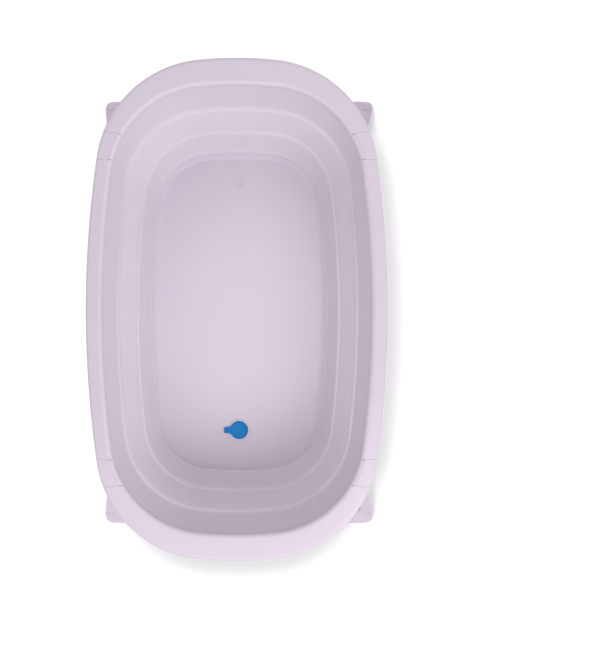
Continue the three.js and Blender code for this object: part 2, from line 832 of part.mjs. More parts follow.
// One half of the U, drawn with X to the side and Y down along the leg.
function frameHalf() {
  const half = LEG.headWidth / 2;
  const innerBar = footDepth - LEG.barDepth;
  const shape = new THREE.Shape();
  shape.moveTo(pivotX + half, 0);
  shape.lineTo(pivotX + half, LEG.straight);
  shape.lineTo(footOuter, footDepth - LEG.cornerRadius * 2);
  shape.lineTo(footOuter, footDepth - LEG.cornerRadius);
  shape.absarc(
    footOuter - LEG.cornerRadius, footDepth - LEG.cornerRadius, LEG.cornerRadius, 0, Math.PI / 2, false,
  );
  shape.lineTo(footOuter - LEG.cornerRadius, frameEnd);
  shape.lineTo(0, frameEnd);
  shape.lineTo(0, innerBar);
  shape.lineTo(footInner - LEG.innerRadius, innerBar);
  shape.absarc(
    footInner - LEG.innerRadius, innerBar - LEG.innerRadius, LEG.innerRadius, Math.PI / 2, 0, true,
  );
  shape.lineTo(pivotX - half, LEG.straight);
  shape.lineTo(pivotX - half, 0);
  return shape;
}

// Tilts a solid drawn with X to the side, Y down along the leg and Z across it into place.
function placeOnLeg(geometry) {
  geometry.translate(0, 0, -LEG.thickness / 2);
  geometry.rotateX(LEG.splay - Math.PI / 2);
  return geometry.translate(0, pivotY, pivotZ);
}

function legFrame() {
  const halfGeometry = new THREE.ExtrudeGeometry(frameHalf(), {
    depth: LEG.thickness,
    bevelEnabled: false,
    curveSegments: STEPS.end,
  });
  const half = solidFrom(placeOnLeg(halfGeometry));
  const head = axle(
    pivotY, pivotZ, LEG.headRadius, pivotX - LEG.headWidth / 2, pivotX + LEG.headWidth / 2,
  );
  const nose = boxBetween(
    new THREE.Vector3(pivotX - LEG.headWidth / 2, pivotY, pivotZ),
    new THREE.Vector3(pivotX + LEG.headWidth / 2, pivotY + LEG.noseReach, plateUnder - GAP),
  );
  const right = joined(half, head, nose);
  const ground = boxBetween(
    new THREE.Vector3(-WIDTH, 0, -HEIGHT),
    new THREE.Vector3(WIDTH, LENGTH, PAD.height),
  );
  const holes = axle(pivotY, pivotZ, pinBore, -WIDTH, WIDTH);
  let frame = right.add(mirrored(right, -1, 1)).subtract(joined(ground, holes));
  for (const { x, y } of stemPlaces()) {
    for (const sx of [-1, 1]) {
      const radius = PAD.stemRadius + GAP;
      frame = frame.subtract(post(x * sx, y, radius, 0, PAD.height + PAD.stemHeight + GAP));
    }
  }
  return frame;
}

// Pads under the two corners of each frame, each held by two stems

const footY = pivotY + (pivotZ - PAD.height) * Math.tan(LEG.splay);
const padMiddleX = footOuter - LEG.cornerRadius - PAD.length / 2 + PAD.round;

function stemPlaces() {
  return [-1, 1].map((side) => new THREE.Vector2(padMiddleX + (side * PAD.stemSpacing) / 2, footY));
}

function footPad() {
  const halfX = PAD.length / 2;
  const halfY = LEG.thickness / Math.cos(LEG.splay) / 2 - PAD.inset;
  const round = Math.min(PAD.round, halfY);
  const shape = new THREE.Shape();
  shape.moveTo(halfX - round, -halfY);
  shape.absarc(halfX - round, round - halfY, round, -Math.PI / 2, 0, false);
  shape.absarc(halfX - round, halfY - round, round, 0, Math.PI / 2, false);
  shape.absarc(round - halfX, halfY - round, round, Math.PI / 2, Math.PI, false);
  shape.absarc(round - halfX, round - halfY, round, Math.PI, Math.PI * 1.5, false);
  const block = new THREE.ExtrudeGeometry(shape, {
    depth: PAD.height - GAP,
    bevelEnabled: false,
    curveSegments: STEPS.end,
  });
  const stems = [-1, 1].map((side) =>
    post((side * PAD.stemSpacing) / 2, 0, PAD.stemRadius, PAD.height / 2, PAD.height + PAD.stemHeight),
  );
  return joined(solidFrom(block), ...stems);
}

const headFrame = legFrame();
addPiece(legGroups.head, "leg_frame_head", headFrame, tubPlastic);
addPiece(legGroups.foot, "leg_frame_foot", mirrored(headFrame, 1, -1), tubPlastic);
for (const { name, sx, sy } of QUARTERS) {
  const legGroup = sy > 0 ? legGroups.head : legGroups.foot;
  const place = new THREE.Vector3(padMiddleX * sx, footY * sy, 0);
  addPiece(legGroup, `foot_pad_${name}`, footPad(), gripRubber, place);
}

export default bathtub;
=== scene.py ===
"""A foldable baby bathtub, standing open on its leg frames and seen from straight above.

Sizes are in millimetres up to the point where a mesh is made, and the scene is in metres. +X is the
tub's right side, +Y its head end, and the drain is at -Y.
"""

import itertools
import json
import math

import bmesh
import bpy
import numpy as np
from mathutils import Matrix, Vector


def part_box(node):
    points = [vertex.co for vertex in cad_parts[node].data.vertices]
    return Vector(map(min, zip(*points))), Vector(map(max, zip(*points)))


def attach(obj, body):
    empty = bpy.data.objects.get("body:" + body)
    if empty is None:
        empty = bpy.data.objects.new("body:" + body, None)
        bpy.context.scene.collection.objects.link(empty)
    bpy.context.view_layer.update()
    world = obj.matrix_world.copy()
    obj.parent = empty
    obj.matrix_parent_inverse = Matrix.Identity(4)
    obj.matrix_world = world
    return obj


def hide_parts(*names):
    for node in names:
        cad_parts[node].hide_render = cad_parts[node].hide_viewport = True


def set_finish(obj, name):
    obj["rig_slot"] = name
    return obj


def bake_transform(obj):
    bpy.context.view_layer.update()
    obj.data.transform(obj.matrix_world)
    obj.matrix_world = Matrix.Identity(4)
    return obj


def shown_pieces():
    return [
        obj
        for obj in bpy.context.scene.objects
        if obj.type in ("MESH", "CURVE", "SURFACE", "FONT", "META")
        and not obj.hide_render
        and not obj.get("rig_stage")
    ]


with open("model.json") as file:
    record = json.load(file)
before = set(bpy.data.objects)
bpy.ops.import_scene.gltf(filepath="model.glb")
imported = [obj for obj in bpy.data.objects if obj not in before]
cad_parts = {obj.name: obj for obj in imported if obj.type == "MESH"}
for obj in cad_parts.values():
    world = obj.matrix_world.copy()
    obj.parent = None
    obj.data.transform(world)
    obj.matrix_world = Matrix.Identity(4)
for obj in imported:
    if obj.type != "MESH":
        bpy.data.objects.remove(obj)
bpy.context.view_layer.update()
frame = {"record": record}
scene = bpy.context.scene

MM = 0.001


def box_mm(node):
    low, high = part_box(node)
    return low / MM, high / MM


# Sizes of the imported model

GAP = 0.35  # between pieces that touch
RIM_LOW, RIM_HIGH = box_mm("rim_shell")
_, UPPER_HIGH = box_mm("wall_upper_band")
_, FOLD_HIGH = box_mm("wall_fold_band")
LOWER_LOW, LOWER_HIGH = box_mm("wall_lower_band")
PAN_LOW, PAN_HIGH = box_mm("base_pan")
PLATE_LOW, PLATE_HIGH = box_mm("hinge_bracket_head_right")
PIN_LOW, PIN_HIGH = box_mm("hinge_pin_head_right")
PAD_LOW, PAD_HIGH = box_mm("foot_pad_head_right")
PLUG_LOW, PLUG_HIGH = box_mm("drain_plug")
SEAT_LOW, SEAT_HIGH = box_mm("drain_seat")
NUT_LOW, NUT_HIGH = box_mm("drain_nut")
CLAMP_LOW, CLAMP_HIGH = box_mm("wall_clamp_ring")
FRAME_LOW, FRAME_HIGH = box_mm("leg_frame_head")

# The ovals: three tangent arcs a quarter

SIDE_RADIUS = 1700
END_RADIUS = 600
CORNER_SETBACK = 59

# Rim

RIM_SIDE_WIDTH = 26
RIM_END_WIDTH = 43
RIM_WALL = 2.6
LIP = 13
BEAD_WIDTH = 6.5
BEAD_DROP = 5.5
EDGE_WIDTH = 8
EDGE_FALL = 2
EDGE_DROP = 8.5

# Wall

WALL_THICKNESS = 2.4
UPPER_SIDE_RUN = 16
UPPER_END_RUN = 26
FOLD_SIDE_RUN = 21.6
FOLD_END_RUN = 22
LEDGE = 4
OVERLAP = 4
FLANGE_WIDTH = 11
FLANGE_THICKNESS = 2.8
CLAMP_CLEAR = 3  # from the rim's inner edge out to the clamp ring

# Base pan and drain

PAN_WALL = 2.6
PAN_FLOOR = 3
PAN_DEPTH = 14
SKIRT_INSET = 12
SKIRT_WALL = 3
RIB = 2.5
RIB_DEPTH = 9
RIB_PITCH = 84
CROSS_RIBS = 5
DRAIN_BORE = 10.5
TUBE_WALL = 2.2
PLUG_RADIUS = 15.7

# Hinges, screws and leg frames

PLATE_THICKNESS = 5.5
PLATE_INSET = 3
EAR_NEAR = 6.85  # from the middle of the leg's head to the near face of an ear
EAR_FAR = 11.05
PIN_RADIUS = 3.75
BOSS_RADIUS = 3.6
CLAMP_BOSS_RADIUS = 3.4
SCREW_RADIUS = 1.6
SCREW_BITE = 6
SPLAY = math.radians(29.6)
LEG_HEAD_RADIUS = 11
LEG_HEAD_WIDTH = 13
NOSE_REACH = 11
FOOT_WIDTH = 22
LEG_THICKNESS = 18
BAR_DEPTH = 24
ARM_STRAIGHT = 22
ARM_BEND = 60  # radius of the bends in an arm's edges
SHOULDER = 32  # along the leg, from the ground cut up to where an arm's outer edge starts to slant
BAR_BEND = 38  # radius of the curve from an arm into the bar
TOE_RADIUS = 16
CELL_WALL = 3.2
CELL_RIB = 2.4
ARM_CELLS = 6
BAR_CELLS = 9
BAR_REACH = 168  # how far the hollows in the bar reach to each side
PANEL_MARGIN = 4
STEM_RADIUS = 3
STEM_SPACING = 22
SOLE_GROOVES = 7
SOLE_PITCH = 5.4

# Sizes that follow

TOP = RIM_HIGH.z
SKIRT_EDGE = RIM_LOW.z
UPPER_LEDGE = FOLD_HIGH.z
LOWER_LEDGE = LOWER_HIGH.z
PAN_EDGE = PAN_HIGH.z
FLOOR_TOP = PAN_EDGE - PAN_DEPTH
FLOOR_UNDER = FLOOR_TOP - PAN_FLOOR
DRAIN_Y = (SEAT_LOW.y + SEAT_HIGH.y) / 2
TUBE_RADIUS = DRAIN_BORE + TUBE_WALL
SEAT_RADIUS = SEAT_HIGH.x
PIVOT_X = PIN_LOW.x + EAR_FAR
PIVOT_Y = (PLATE_LOW.y + PLATE_HIGH.y) / 2
PIVOT_Z = (PIN_LOW.z + PIN_HIGH.z) / 2
PAD_X = (PAD_LOW.x + PAD_HIGH.x) / 2
PLATE_TOP = PLATE_HIGH.z
PLATE_UNDER = PLATE_TOP - PLATE_THICKNESS
CAP_BOSS_UNDER = PLATE_TOP + GAP
RIM_BOSS_UNDER = TOP - LIP
PIN_BORE = PIN_RADIUS + GAP
SCREW_HOLE = SCREW_RADIUS + GAP

# Ovals


def arc(radius, turn, x=0.0, y=0.0):
    """Points at a distance from a centre, in directions given as angles."""
    return np.column_stack([x + radius * np.cos(turn), y + radius * np.sin(turn)])


def spaced(marks, steps):
    """Distances in even steps from each mark to the next, up to the last mark."""
    spots = []
    for k, count in enumerate(steps):
        spots.append(np.linspace(marks[k], marks[k + 1], count, endpoint=False))
    return np.concatenate([*spots, marks[-1:]])


class Oval:
    """An oval of three tangent arcs a quarter, moved outwards by a distance."""

    COLUMNS = (24, 32, 16)

    def __init__(self, half_width, half_length, grown=0.0):
        self.half = half_width, half_length
        self.grown = grown
        corner = half_width - CORNER_SETBACK
        side_x = half_width - SIDE_RADIUS
        end_y = half_length - END_RADIUS
        to_side = SIDE_RADIUS - corner
        to_end = END_RADIUS - corner
        apart = math.hypot(side_x, end_y)
        along = (to_side**2 - to_end**2 + apart**2) / (2 * apart)
        across = math.sqrt(to_side**2 - along**2)
        ux, uy = -side_x / apart, end_y / apart
        x, y = side_x + along * ux - across * uy, along * uy + across * ux
        side_turn = math.atan2(y, x - side_x)
        end_turn = math.atan2(y - end_y, x)
        side = (side_x, 0, SIDE_RADIUS + grown, 0, side_turn)
        end = (0, end_y, END_RADIUS + grown, end_turn, math.pi / 2)
        self.arcs = np.array([side, (x, y, corner + grown, side_turn, end_turn), end])
        spans = self.arcs[:, 2] * (self.arcs[:, 4] - self.arcs[:, 3])
        self.starts = np.concatenate([[0], np.cumsum(spans)])
        self.length = self.starts[-1]

    def grow(self, distance):
        return Oval(*self.half, self.grown + distance)

    def narrowed(self, side_width, end_width):
        return Oval(self.half[0] - side_width, self.half[1] - end_width)

    def at(self, distances):
        """Points of the first quarter, at distances along it from the middle of the side."""
        distances = np.asarray(distances, float)
        k = np.searchsorted(self.starts[1:-1], distances, side="right")
        x, y, radius, first, _ = self.arcs[k].T
        return arc(radius, first + (distances - self.starts[k]) / radius, x, y)

    def crossing(self, beyond):
        """The distance along the first quarter at which the oval passes a line."""
        low, high = 0.0, self.length
        for _ in range(50):
            middle = (low + high) / 2
            if beyond(*self.at([middle])[0]):
                high = middle
            else:
                low = middle
        return high

    def beyond(self, points):
        """How far outside the oval points near it lie."""
        x, y = np.abs(points[:, :2]).T
        side, corner, end = (np.hypot(x - a[0], y - a[1]) - a[2] for a in self.arcs)
        at_side = np.arctan2(y, x - self.arcs[0, 0]) <= self.arcs[0, 4]
        at_end = np.arctan2(y - self.arcs[2, 1], x) >= self.arcs[2, 3]
        return np.where(at_side, side, np.where(at_end, end, corner))

    def quarter(self):
        """Points of the first quarter, with each arc shared out evenly."""
        return self.at(spaced(self.starts, self.COLUMNS))


def all_round(quarter):
    """The whole loop from the points of its first quarter, anticlockwise."""
    rising = quarter[:-1]
    falling = quarter[1:][::-1]
    turns = [(rising, 1, 1), (falling, -1, 1), (rising, -1, -1), (falling, 1, -1)]
    return np.concatenate([points * (sx, sy) for points, sx, sy in turns])


def raised(points, z):
    return np.column_stack([points, np.full(len(points), z)])


def rail(oval, z):
    """One loop of a loft: an oval at a height."""
    return raised(all_round(oval.quarter()), z)


rim_outer = Oval(RIM_HIGH.x, RIM_HIGH.y)
rim_inner = rim_outer.narrowed(RIM_SIDE_WIDTH, RIM_END_WIDTH)
upper_foot = rim_inner.narrowed(UPPER_SIDE_RUN, UPPER_END_RUN)
fold_foot = upper_foot.narrowed(LEDGE, LEDGE).narrowed(FOLD_SIDE_RUN, FOLD_END_RUN)
pan_outer = Oval(PAN_HIGH.x + GAP, PAN_HIGH.y + GAP).grow(-GAP)

# Meshes


def placed(name, data):
    """A new object in the scene."""
    thing = bpy.data.objects.new(name, data)
    scene.collection.objects.link(thing)
    return thing


def make_piece(name, points, faces):
    """A closed mesh from points in millimetres, with its faces turned out."""
    mesh = bpy.data.meshes.new(name)
    mesh.from_pydata((np.asarray(points) * MM).tolist(), [], faces)
    work = bmesh.new()
    work.from_mesh(mesh)
    loose = [v for v in work.verts if not v.link_faces]
    bmesh.ops.delete(work, geom=loose, context="VERTS")
    bmesh.ops.recalc_face_normals(work, faces=work.faces)
    if work.calc_volume(signed=True) < 0:
        bmesh.ops.reverse_faces(work, faces=work.faces)
    work.to_mesh(mesh)
    work.free()
    mesh.shade_smooth()
    return placed(name, mesh)


def loft_faces(rails):
    """Faces between closed rails, the last of them from the last rail to the first."""
    here = np.arange(len(rails) * len(rails[0])).reshape(len(rails), -1)
    there = np.roll(here, -1, axis=0)
    corners = (here, np.roll(here, -1, axis=1), np.roll(there, -1, axis=1), there)
    return np.stack(corners, axis=-1).reshape(-1, 4).tolist()


def ring(name, rails):
    """A loft whose last rail joins its first."""
    return make_piece(name, np.concatenate(rails), loft_faces(rails))


def dish(name, rails):
    """A loft with its first and last rail filled in."""
    columns = len(rails[0])
    last = (len(rails) - 1) * columns
    ends = [range(columns)[::-1], range(last, last + columns)]
    return make_piece(name, np.concatenate(rails), loft_faces(rails)[:last] + [*map(tuple, ends)])


def rounded(rails, cuts, steps=4):
    """Rounds corners of a loft: a rail with a cut becomes a curve with its ends that far away."""
    out = []
    for k, (corner, cut) in enumerate(zip(rails, cuts, strict=True)):
        if not cut:
            out.append(corner)
            continue
        ends = []
        for side in (rails[k - 1] - corner, rails[(k + 1) % len(rails)] - corner):
            share = np.minimum(cut / np.linalg.norm(side, axis=1), 0.49)
            ends.append(corner + side * share[:, None])
        for t in np.linspace(0, 1, steps + 1):
            out.append((1 - t) ** 2 * ends[0] + 2 * t * (1 - t) * corner + t**2 * ends[1])
    return out


def section(stations, steps=4):
    """Rails from an oval, a height and a cut for each corner of a section."""
    rails = [rail(oval, z) for oval, z, _ in stations]
    return rounded(rails, [cut for _, _, cut in stations], steps)


def bezier(start, first, second, end, steps):
    """Points of a cubic curve, with both ends."""
    t = np.linspace(0, 1, steps + 1)[:, None]
    points = [np.array(p, float) for p in (start, first, second, end)]
    weights = ((1 - t) ** 3, 3 * t * (1 - t) ** 2, 3 * t**2 * (1 - t), t**3)
    return sum(w * p for w, p in zip(weights, points, strict=True))


def circle(radius, sides, x=0.0, y=0.0):
    return arc(radius, np.linspace(0, 2 * math.pi, sides, endpoint=False), x, y)


def offset(x, y, *steps):
    """Points, or rows of a table, at steps from a first one."""
    return [(x + u, y + v) for u, v in steps]


def turned(name, outline, sides=64, x=0.0, y=0.0, loft=dish):
    """A solid of revolution about an upright axis, from its outline of radius and height."""
    return loft(name, [raised(circle(radius, sides, x, y), z) for radius, z in outline])


def prism(name, outline, low, high):
    return dish(name, [raised(outline, low), raised(outline, high)])


def box_corners(low, high, *more):
    """The corners of a box in plan, each with what else is given."""
    x = (low[0], high[0], high[0], low[0])
    y = (low[1], low[1], high[1], high[1])
    return [(*corner, *more) for corner in zip(x, y)]


def block(name, low, high):
    return prism(name, box_corners(low, high), low[2], high[2])


def filleted(corners, steps=6):
    """A closed outline from corners of x, y and a rounding radius."""
    out = []
    for k, (x, y, radius) in enumerate(corners):
        here = np.array((x, y), float)
        if not radius:
            out.append(here[None])
            continue
        sides = []
        for other in (corners[k - 1], corners[(k + 1) % len(corners)]):
            side = np.array(other[:2]) - here
            sides.append(side / np.linalg.norm(side))
        half = math.acos(np.clip(np.dot(*sides), -1, 1)) / 2
        start, end = (here + side * radius / math.tan(half) for side in sides)
        t = np.linspace(0, 1, steps + 1)[:, None]
        weights = (1 - t) ** 2, 2 * math.sin(half) * t * (1 - t), t**2
        points = sum(w * p for w, p in zip(weights, (start, here, end), strict=True))
        out.append(points / sum(weights))
    return np.concatenate(out)


def inset(outline, distance):
    """An anticlockwise outline moved inwards, each corner along its bisector."""
    sides = np.roll(outline, -1, axis=0) - outline
    inward = np.column_stack([-sides[:, 1], sides[:, 0]]) / np.linalg.norm(sides, axis=1)[:, None]
    before = np.roll(inward, 1, axis=0)
    share = 1 + np.sum(inward * before, axis=1)
    return outline + distance * (inward + before) / share[:, None]


def eased(low, high, edge, steps=4):
    """Insets and heights of an extrusion whose two ends are rounded."""
    turn = np.linspace(0, math.pi / 2, steps + 1)
    start = [(edge * (1 - math.sin(a)), low + edge * (1 - math.cos(a))) for a in turn]
    return start + [(cut, high + low - z) for cut, z in reversed(start)]


def extruded(name, outline, low, high, edge):
    """An anticlockwise outline extruded upwards, with rounded ends."""
    return dish(name, [raised(inset(outline, cut), z) for cut, z in eased(low, high, edge)])


def moved(piece, matrix):
    """Moves a piece's mesh by a matrix whose shift is in millimetres."""
    metres = matrix.copy()
    metres.translation *= MM
    piece.data.transform(metres)
    return piece


def copied(piece, name, matrix):
    copy = placed(name, piece.data.copy())
    if matrix.determinant() < 0:
        copy.data.flip_normals()
    return moved(copy, matrix)


def mirrored(piece, name, sx, sy):
    """A copy of a piece of the right head quarter, in another quarter."""
    return copied(piece, name, Matrix.Diagonal((sx, sy, 1, 1)))


# Turns a solid drawn with Z along its length so that Z lies along the tub's X, and X along its Y
ALONG_X = Matrix(((0, 0, 1, 0), (1, 0, 0, 0), (0, 1, 0, 0), (0, 0, 0, 1)))


# Solids cut from and joined to each other


def settle(piece):
    """Makes a piece's modifiers part of its mesh."""
    graph = bpy.context.evaluated_depsgraph_get()
    mesh = bpy.data.meshes.new_from_object(piece.evaluated_get(graph))
    old = piece.data
    piece.modifiers.clear()
    piece.data = mesh
    bpy.data.meshes.remove(old)
    return piece


def discard(piece):
    mesh = piece.data
    bpy.data.objects.remove(piece)
    bpy.data.meshes.remove(mesh)


def combined(piece, operation, tools):
    for tool in tools:
        modifier = piece.modifiers.new(operation, "BOOLEAN")
        modifier.operation = operation
        modifier.solver = "MANIFOLD"
        modifier.object = tool
        settle(piece)
        discard(tool)
    return piece


def vertex_places(piece):
    """A row of x, y and z in metres for each vertex of a piece."""
    places = np.empty(len(piece.data.vertices) * 3)
    piece.data.vertices.foreach_get("co", places)
    return places.reshape(-1, 3)


def gathered(pieces):
    """One piece of several that don't touch."""
    first = pieces[0]
    work = bmesh.new()
    for piece in pieces:
        work.from_mesh(piece.data)
    work.to_mesh(first.data)
    work.free()
    for piece in pieces[1:]:
        discard(piece)
    return first


POST_SIDES = 32


def posts(places, radius, low, high):
    """Upright posts at places, gathered in one piece."""
    outline = [(radius, low), (radius, high)]
    return gathered([turned("post", outline, POST_SIDES, x, y) for x, y in places])


def joined(piece, *others):
    return combined(piece, "UNION", others)


def cut(piece, *tools):
    return combined(piece, "DIFFERENCE", tools)


def common(piece, *tools):
    return combined(piece, "INTERSECT", tools)


def softened(piece, width=0.3):
    """Rounds the sharp edges of a piece by a width in millimetres."""
    bevel = piece.modifiers.new("edges", "BEVEL")
    bevel.width = width * MM
    bevel.segments = 2
    bevel.limit_method = "ANGLE"
    bevel.angle_limit = math.radians(35)
    bevel.use_clamp_overlap = False
    bevel.miter_outer = "MITER_ARC"
    return weighted(piece)


def weighted(piece):
    piece.data.shade_smooth()
    normals = piece.modifiers.new("normals", "WEIGHTED_NORMAL")
    normals.weight = 80
    return piece


def fitted(piece, slot, body, node):
    """Ties a piece to the node it stands for, its material slot and the body it rides on."""
    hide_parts(node)
    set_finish(piece, slot)
    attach(piece, body)


ENDS = {"head": 1, "foot": -1}
SIDES = {"left": -1, "right": 1}
QUARTERS = {f"{end}_{side}": (sx, sy) for end, sy in ENDS.items() for side, sx in SIDES.items()}

# Screws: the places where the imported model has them


def screw_boxes(kind):
    nodes = [part["node"] for part in frame["record"]["subparts"]]
    return {node: box_mm(node) for node in nodes if node.startswith(kind)}


def screw_places(kind):
    return [tuple((low + high).xy / 2) for low, high in screw_boxes(kind).values()]


clamp_places = screw_places("clamp_screw")
cap_places = screw_places("bracket_screw")

# Rim: a thin shell with a bead along its inner edge, and a sunk seat for each hinge cap

CAP_HALF = 22.5
CAP_TILT = math.radians(8.3)
CAP_START = 0.008  # the share of the flange at which a cap starts
SEAM = 0.16  # the visible gap round a cap
GROOVE_HALF = 0.32
GROOVE_DEPTH = 2
SEAT_DEPTH = RIM_WALL + GAP
RIM_DEPTHS = (0, RIM_WALL, SEAT_DEPTH, SEAT_DEPTH + RIM_WALL)
FLANGE_SHARES = np.linspace(0, 1, 7)[1:-1]
SEAM_COLUMNS = (24, 1, 9, 1, 46)  # side to seat edge, seam, far seam, seat edge, end of the tub

seam_corner = rim_outer.at([rim_outer.crossing(lambda _, y: y > PIVOT_Y + CAP_HALF)])[0]


def seam_marks(oval, margin):
    """Where an oval meets the cap's near and far seam, moved outwards by a margin."""
    near = PIVOT_Y - CAP_HALF - margin
    slope = math.tan(CAP_TILT)
    shift = seam_corner[1] + margin / math.cos(CAP_TILT)
    return (
        oval.crossing(lambda _, y: y > near),
        oval.crossing(lambda x, y: y > shift + (x - seam_corner[0]) * slope),
    )


def seam_rail(oval, z):
    """A loop whose columns lie along the seams of the caps and of the seats below them."""
    near, far = seam_marks(oval, 0)
    before, beyond = seam_marks(oval, RIM_WALL)
    spots = spaced((0, before, near, far, beyond, oval.length), SEAM_COLUMNS)
    return raised(all_round(oval.at(spots)), z)


def cap_rail(oval, z):
    """The stretch of an oval of the right head quarter that one cap covers."""
    near, far = seam_marks(oval, -SEAM)
    return raised(oval.at(np.linspace(near, far, SEAM_COLUMNS[2] + 1)), z)


def bead_profile():
    """Up the lip and over the bead: offset from the inner edge, height, and two shares of depth."""
    foot = TOP - LIP
    shoulder = TOP - BEAD_DROP
    lip = [(0, foot + (shoulder - foot) * t, 1, t) for t in (0, 0.4, 0.8)]
    over = bezier((0, shoulder), (0, TOP - 1.9), (3.2, TOP - 0.1), (BEAD_WIDTH, TOP), 9)
    return lip + [(u, z, 1 - u / BEAD_WIDTH, 1) for u, z in over]


def edge_profile():
    """The same from the outer edge, over it and down the skirt."""
    crest = TOP - EDGE_FALL
    shoulder = TOP - EDGE_DROP
    over = bezier((EDGE_WIDTH, crest), (3.4, crest - 0.5), (0, TOP - 3.6), (0, shoulder), 9)
    rows = [(v, z, min(1, (EDGE_WIDTH - v) / 6), 1) for v, z in over]
    skirt = [(0, SKIRT_EDGE + (shoulder - SKIRT_EDGE) * t, 1, t) for t in (0.75, 0.5, 0.25, 0)]
    return rows + skirt


BEAD_ROWS = bead_profile()
EDGE_ROWS = edge_profile()
SEAT_ROW = len(BEAD_ROWS) - 1
SEAT_UNDER_ROW = next(k for k, row in enumerate(BEAD_ROWS) if row[0] > BEAD_WIDTH - RIM_WALL)


def rim_rails(make, depth, shares=FLANGE_SHARES):
    """The rim's skin at a depth, from its inner lip over shares of the flange to its skirt."""
    bead = [make(rim_inner.grow(u + a * depth), z - d * depth) for u, z, a, d in BEAD_ROWS]
    edge = [make(rim_outer.grow(-v - a * depth), z - d * depth) for v, z, a, d in EDGE_ROWS]
    flange = []
    for t in shares:
        points = bead[-1] + (edge[0] - bead[-1]) * t
        points[:, 2] = TOP - depth - EDGE_FALL * (0.7 * t + 0.3 * t * t)
        flange.append(points)
    return np.array([*bead, *flange, *edge])


def stepped_shell(name, layers, top_sunk, under_sunk):
    """A shell between two skins, where each cell takes the plain or the sunk layer of each skin."""
    rows, columns = layers[0].shape[:2]
    top = np.where(top_sunk, 2, 0)
    under = np.where(under_sunk, 3, 1)
    square = ((0, 0), (0, 1), (1, 1), (1, 0))
    faces = []

    def add(corners):
        """Adds a face, from the layer, row and column of each corner."""
        faces.append([int((k * rows + r) * columns + c % columns) for k, r, c in corners])

    for row, column in itertools.product(range(rows - 1), range(columns)):
        for skin in (top, under):
            layer = skin[row, column]
            beside = skin[row, column - 1]
            before = skin[row - 1, column] if row else layer
            add((layer, row + r, column + c) for r, c in square)
            if beside != layer:
                add(((beside, layer)[k], row + r, column) for k, r in square)
            if before != layer:
                add(((before, layer)[k], row, column + c) for k, c in square)
    for row, cell in ((0, 0), (rows - 1, rows - 2)):
        for column in range(columns):
            high, low = top[cell, column], under[cell, column]
            corners = []
            for side in (0, 1):
                beside = (column + 2 * side - 1) % columns
                met = {high, low, top[cell, beside], under[cell, beside]}
                levels = sorted((k for k in met if high <= k <= low), reverse=bool(side))
                corners += [(k, row, column + side) for k in levels]
            add(corners)
    return make_piece(name, np.concatenate([layer.reshape(-1, 3) for layer in layers]), faces)


def slab(name, top, under):
    """A closed sheet between two grids of points with open edges."""
    points = np.concatenate([top.reshape(-1, 3), under.reshape(-1, 3)])
    size = len(points) // 2
    grid = np.arange(size).reshape(top.shape[:2])
    corners = (grid[:-1, :-1], grid[:-1, 1:], grid[1:, 1:], grid[1:, :-1])
    cells = np.stack(corners, axis=-1).reshape(-1, 4)
    border = np.concatenate([grid[0, :-1], grid[:-1, -1], grid[-1, :0:-1], grid[:0:-1, 0]])
    after = np.roll(border, -1)
    sides = np.column_stack([border, after, after + size, border + size])
    return make_piece(name, points, np.concatenate([cells, cells + size, sides]).tolist())


def seat_cells(first_row, first, last):
    """The cells of the rim's grid that the caps' seats take, between two columns of each quarter."""
    quarter = np.zeros(sum(SEAM_COLUMNS), bool)
    quarter[first:last] = True
    loop = np.concatenate([quarter, quarter[::-1], quarter, quarter[::-1]])
    cells = np.zeros((len(BEAD_ROWS) + len(FLANGE_SHARES) + len(EDGE_ROWS) - 1, len(loop)), bool)
    cells[first_row:] = loop
    return cells


seam_columns = np.cumsum([0, *SEAM_COLUMNS])
top_cells = seat_cells(SEAT_ROW, seam_columns[2], seam_columns[3])
under_cells = seat_cells(SEAT_UNDER_ROW, seam_columns[1], seam_columns[4])
rim_layers = [rim_rails(seam_rail, depth) for depth in RIM_DEPTHS]
rim = stepped_shell("rim", rim_layers, top_cells, under_cells)


def bead_grooves():
    """A fine line across the bead in line with each end of each cap, as a mould's parts leave it."""
    inner, outer = rim_inner.grow(-0.5), rim_inner.grow(BEAD_WIDTH)
    grooves = []
    for mark in (0, 1):
        ends = [oval.at([seam_marks(oval, 0)[mark]])[0] for oval in (inner, outer)]
        run = ends[1] - ends[0]
        aside = np.array((-run[1], run[0])) / np.linalg.norm(run) * GROOVE_HALF
        for sx, sy in QUARTERS.values():
            points = []
            for end in ends:
                for share, z in ((-1, TOP + 0.4), (1, TOP + 0.4), (0, TOP - GROOVE_DEPTH)):
                    points.append((*((end + share * aside) * (sx, sy)), z))
            faces = [(0, 1, 2), (3, 5, 4), (0, 3, 4, 1), (1, 4, 5, 2), (2, 5, 3, 0)]
            grooves.append(make_piece("groove", points, faces))
    return gathered(grooves)


def mark_edge(piece):
    """Stores each vertex's height, mirrored above the rim's top where it isn't near the outer edge, so
    that one table of the rim's material paints shade on the outer edge and light on the inner lip.
    """
    places = vertex_places(piece)
    near = rim_outer.beyond(places / MM) > -EDGE_WIDTH
    heights = np.where(near, places[:, 2], 2 * TOP * MM - places[:, 2])
    piece.data.attributes.new("edge_height", "FLOAT", "POINT").data.foreach_set("value", heights)


rim = joined(rim, posts(clamp_places, CLAMP_BOSS_RADIUS, RIM_BOSS_UNDER, TOP - 1.4))
rim = cut(
    rim,
    posts(cap_places, BOSS_RADIUS + GAP, SKIRT_EDGE, TOP + 6),
    posts(clamp_places, SCREW_HOLE, RIM_BOSS_UNDER - 6, RIM_BOSS_UNDER + SCREW_BITE + GAP),
)
rim = cut(softened(rim), bead_grooves())
weighted(rim)
mark_edge(rim)
fitted(rim, "rim_plastic", "rim", "rim_shell")

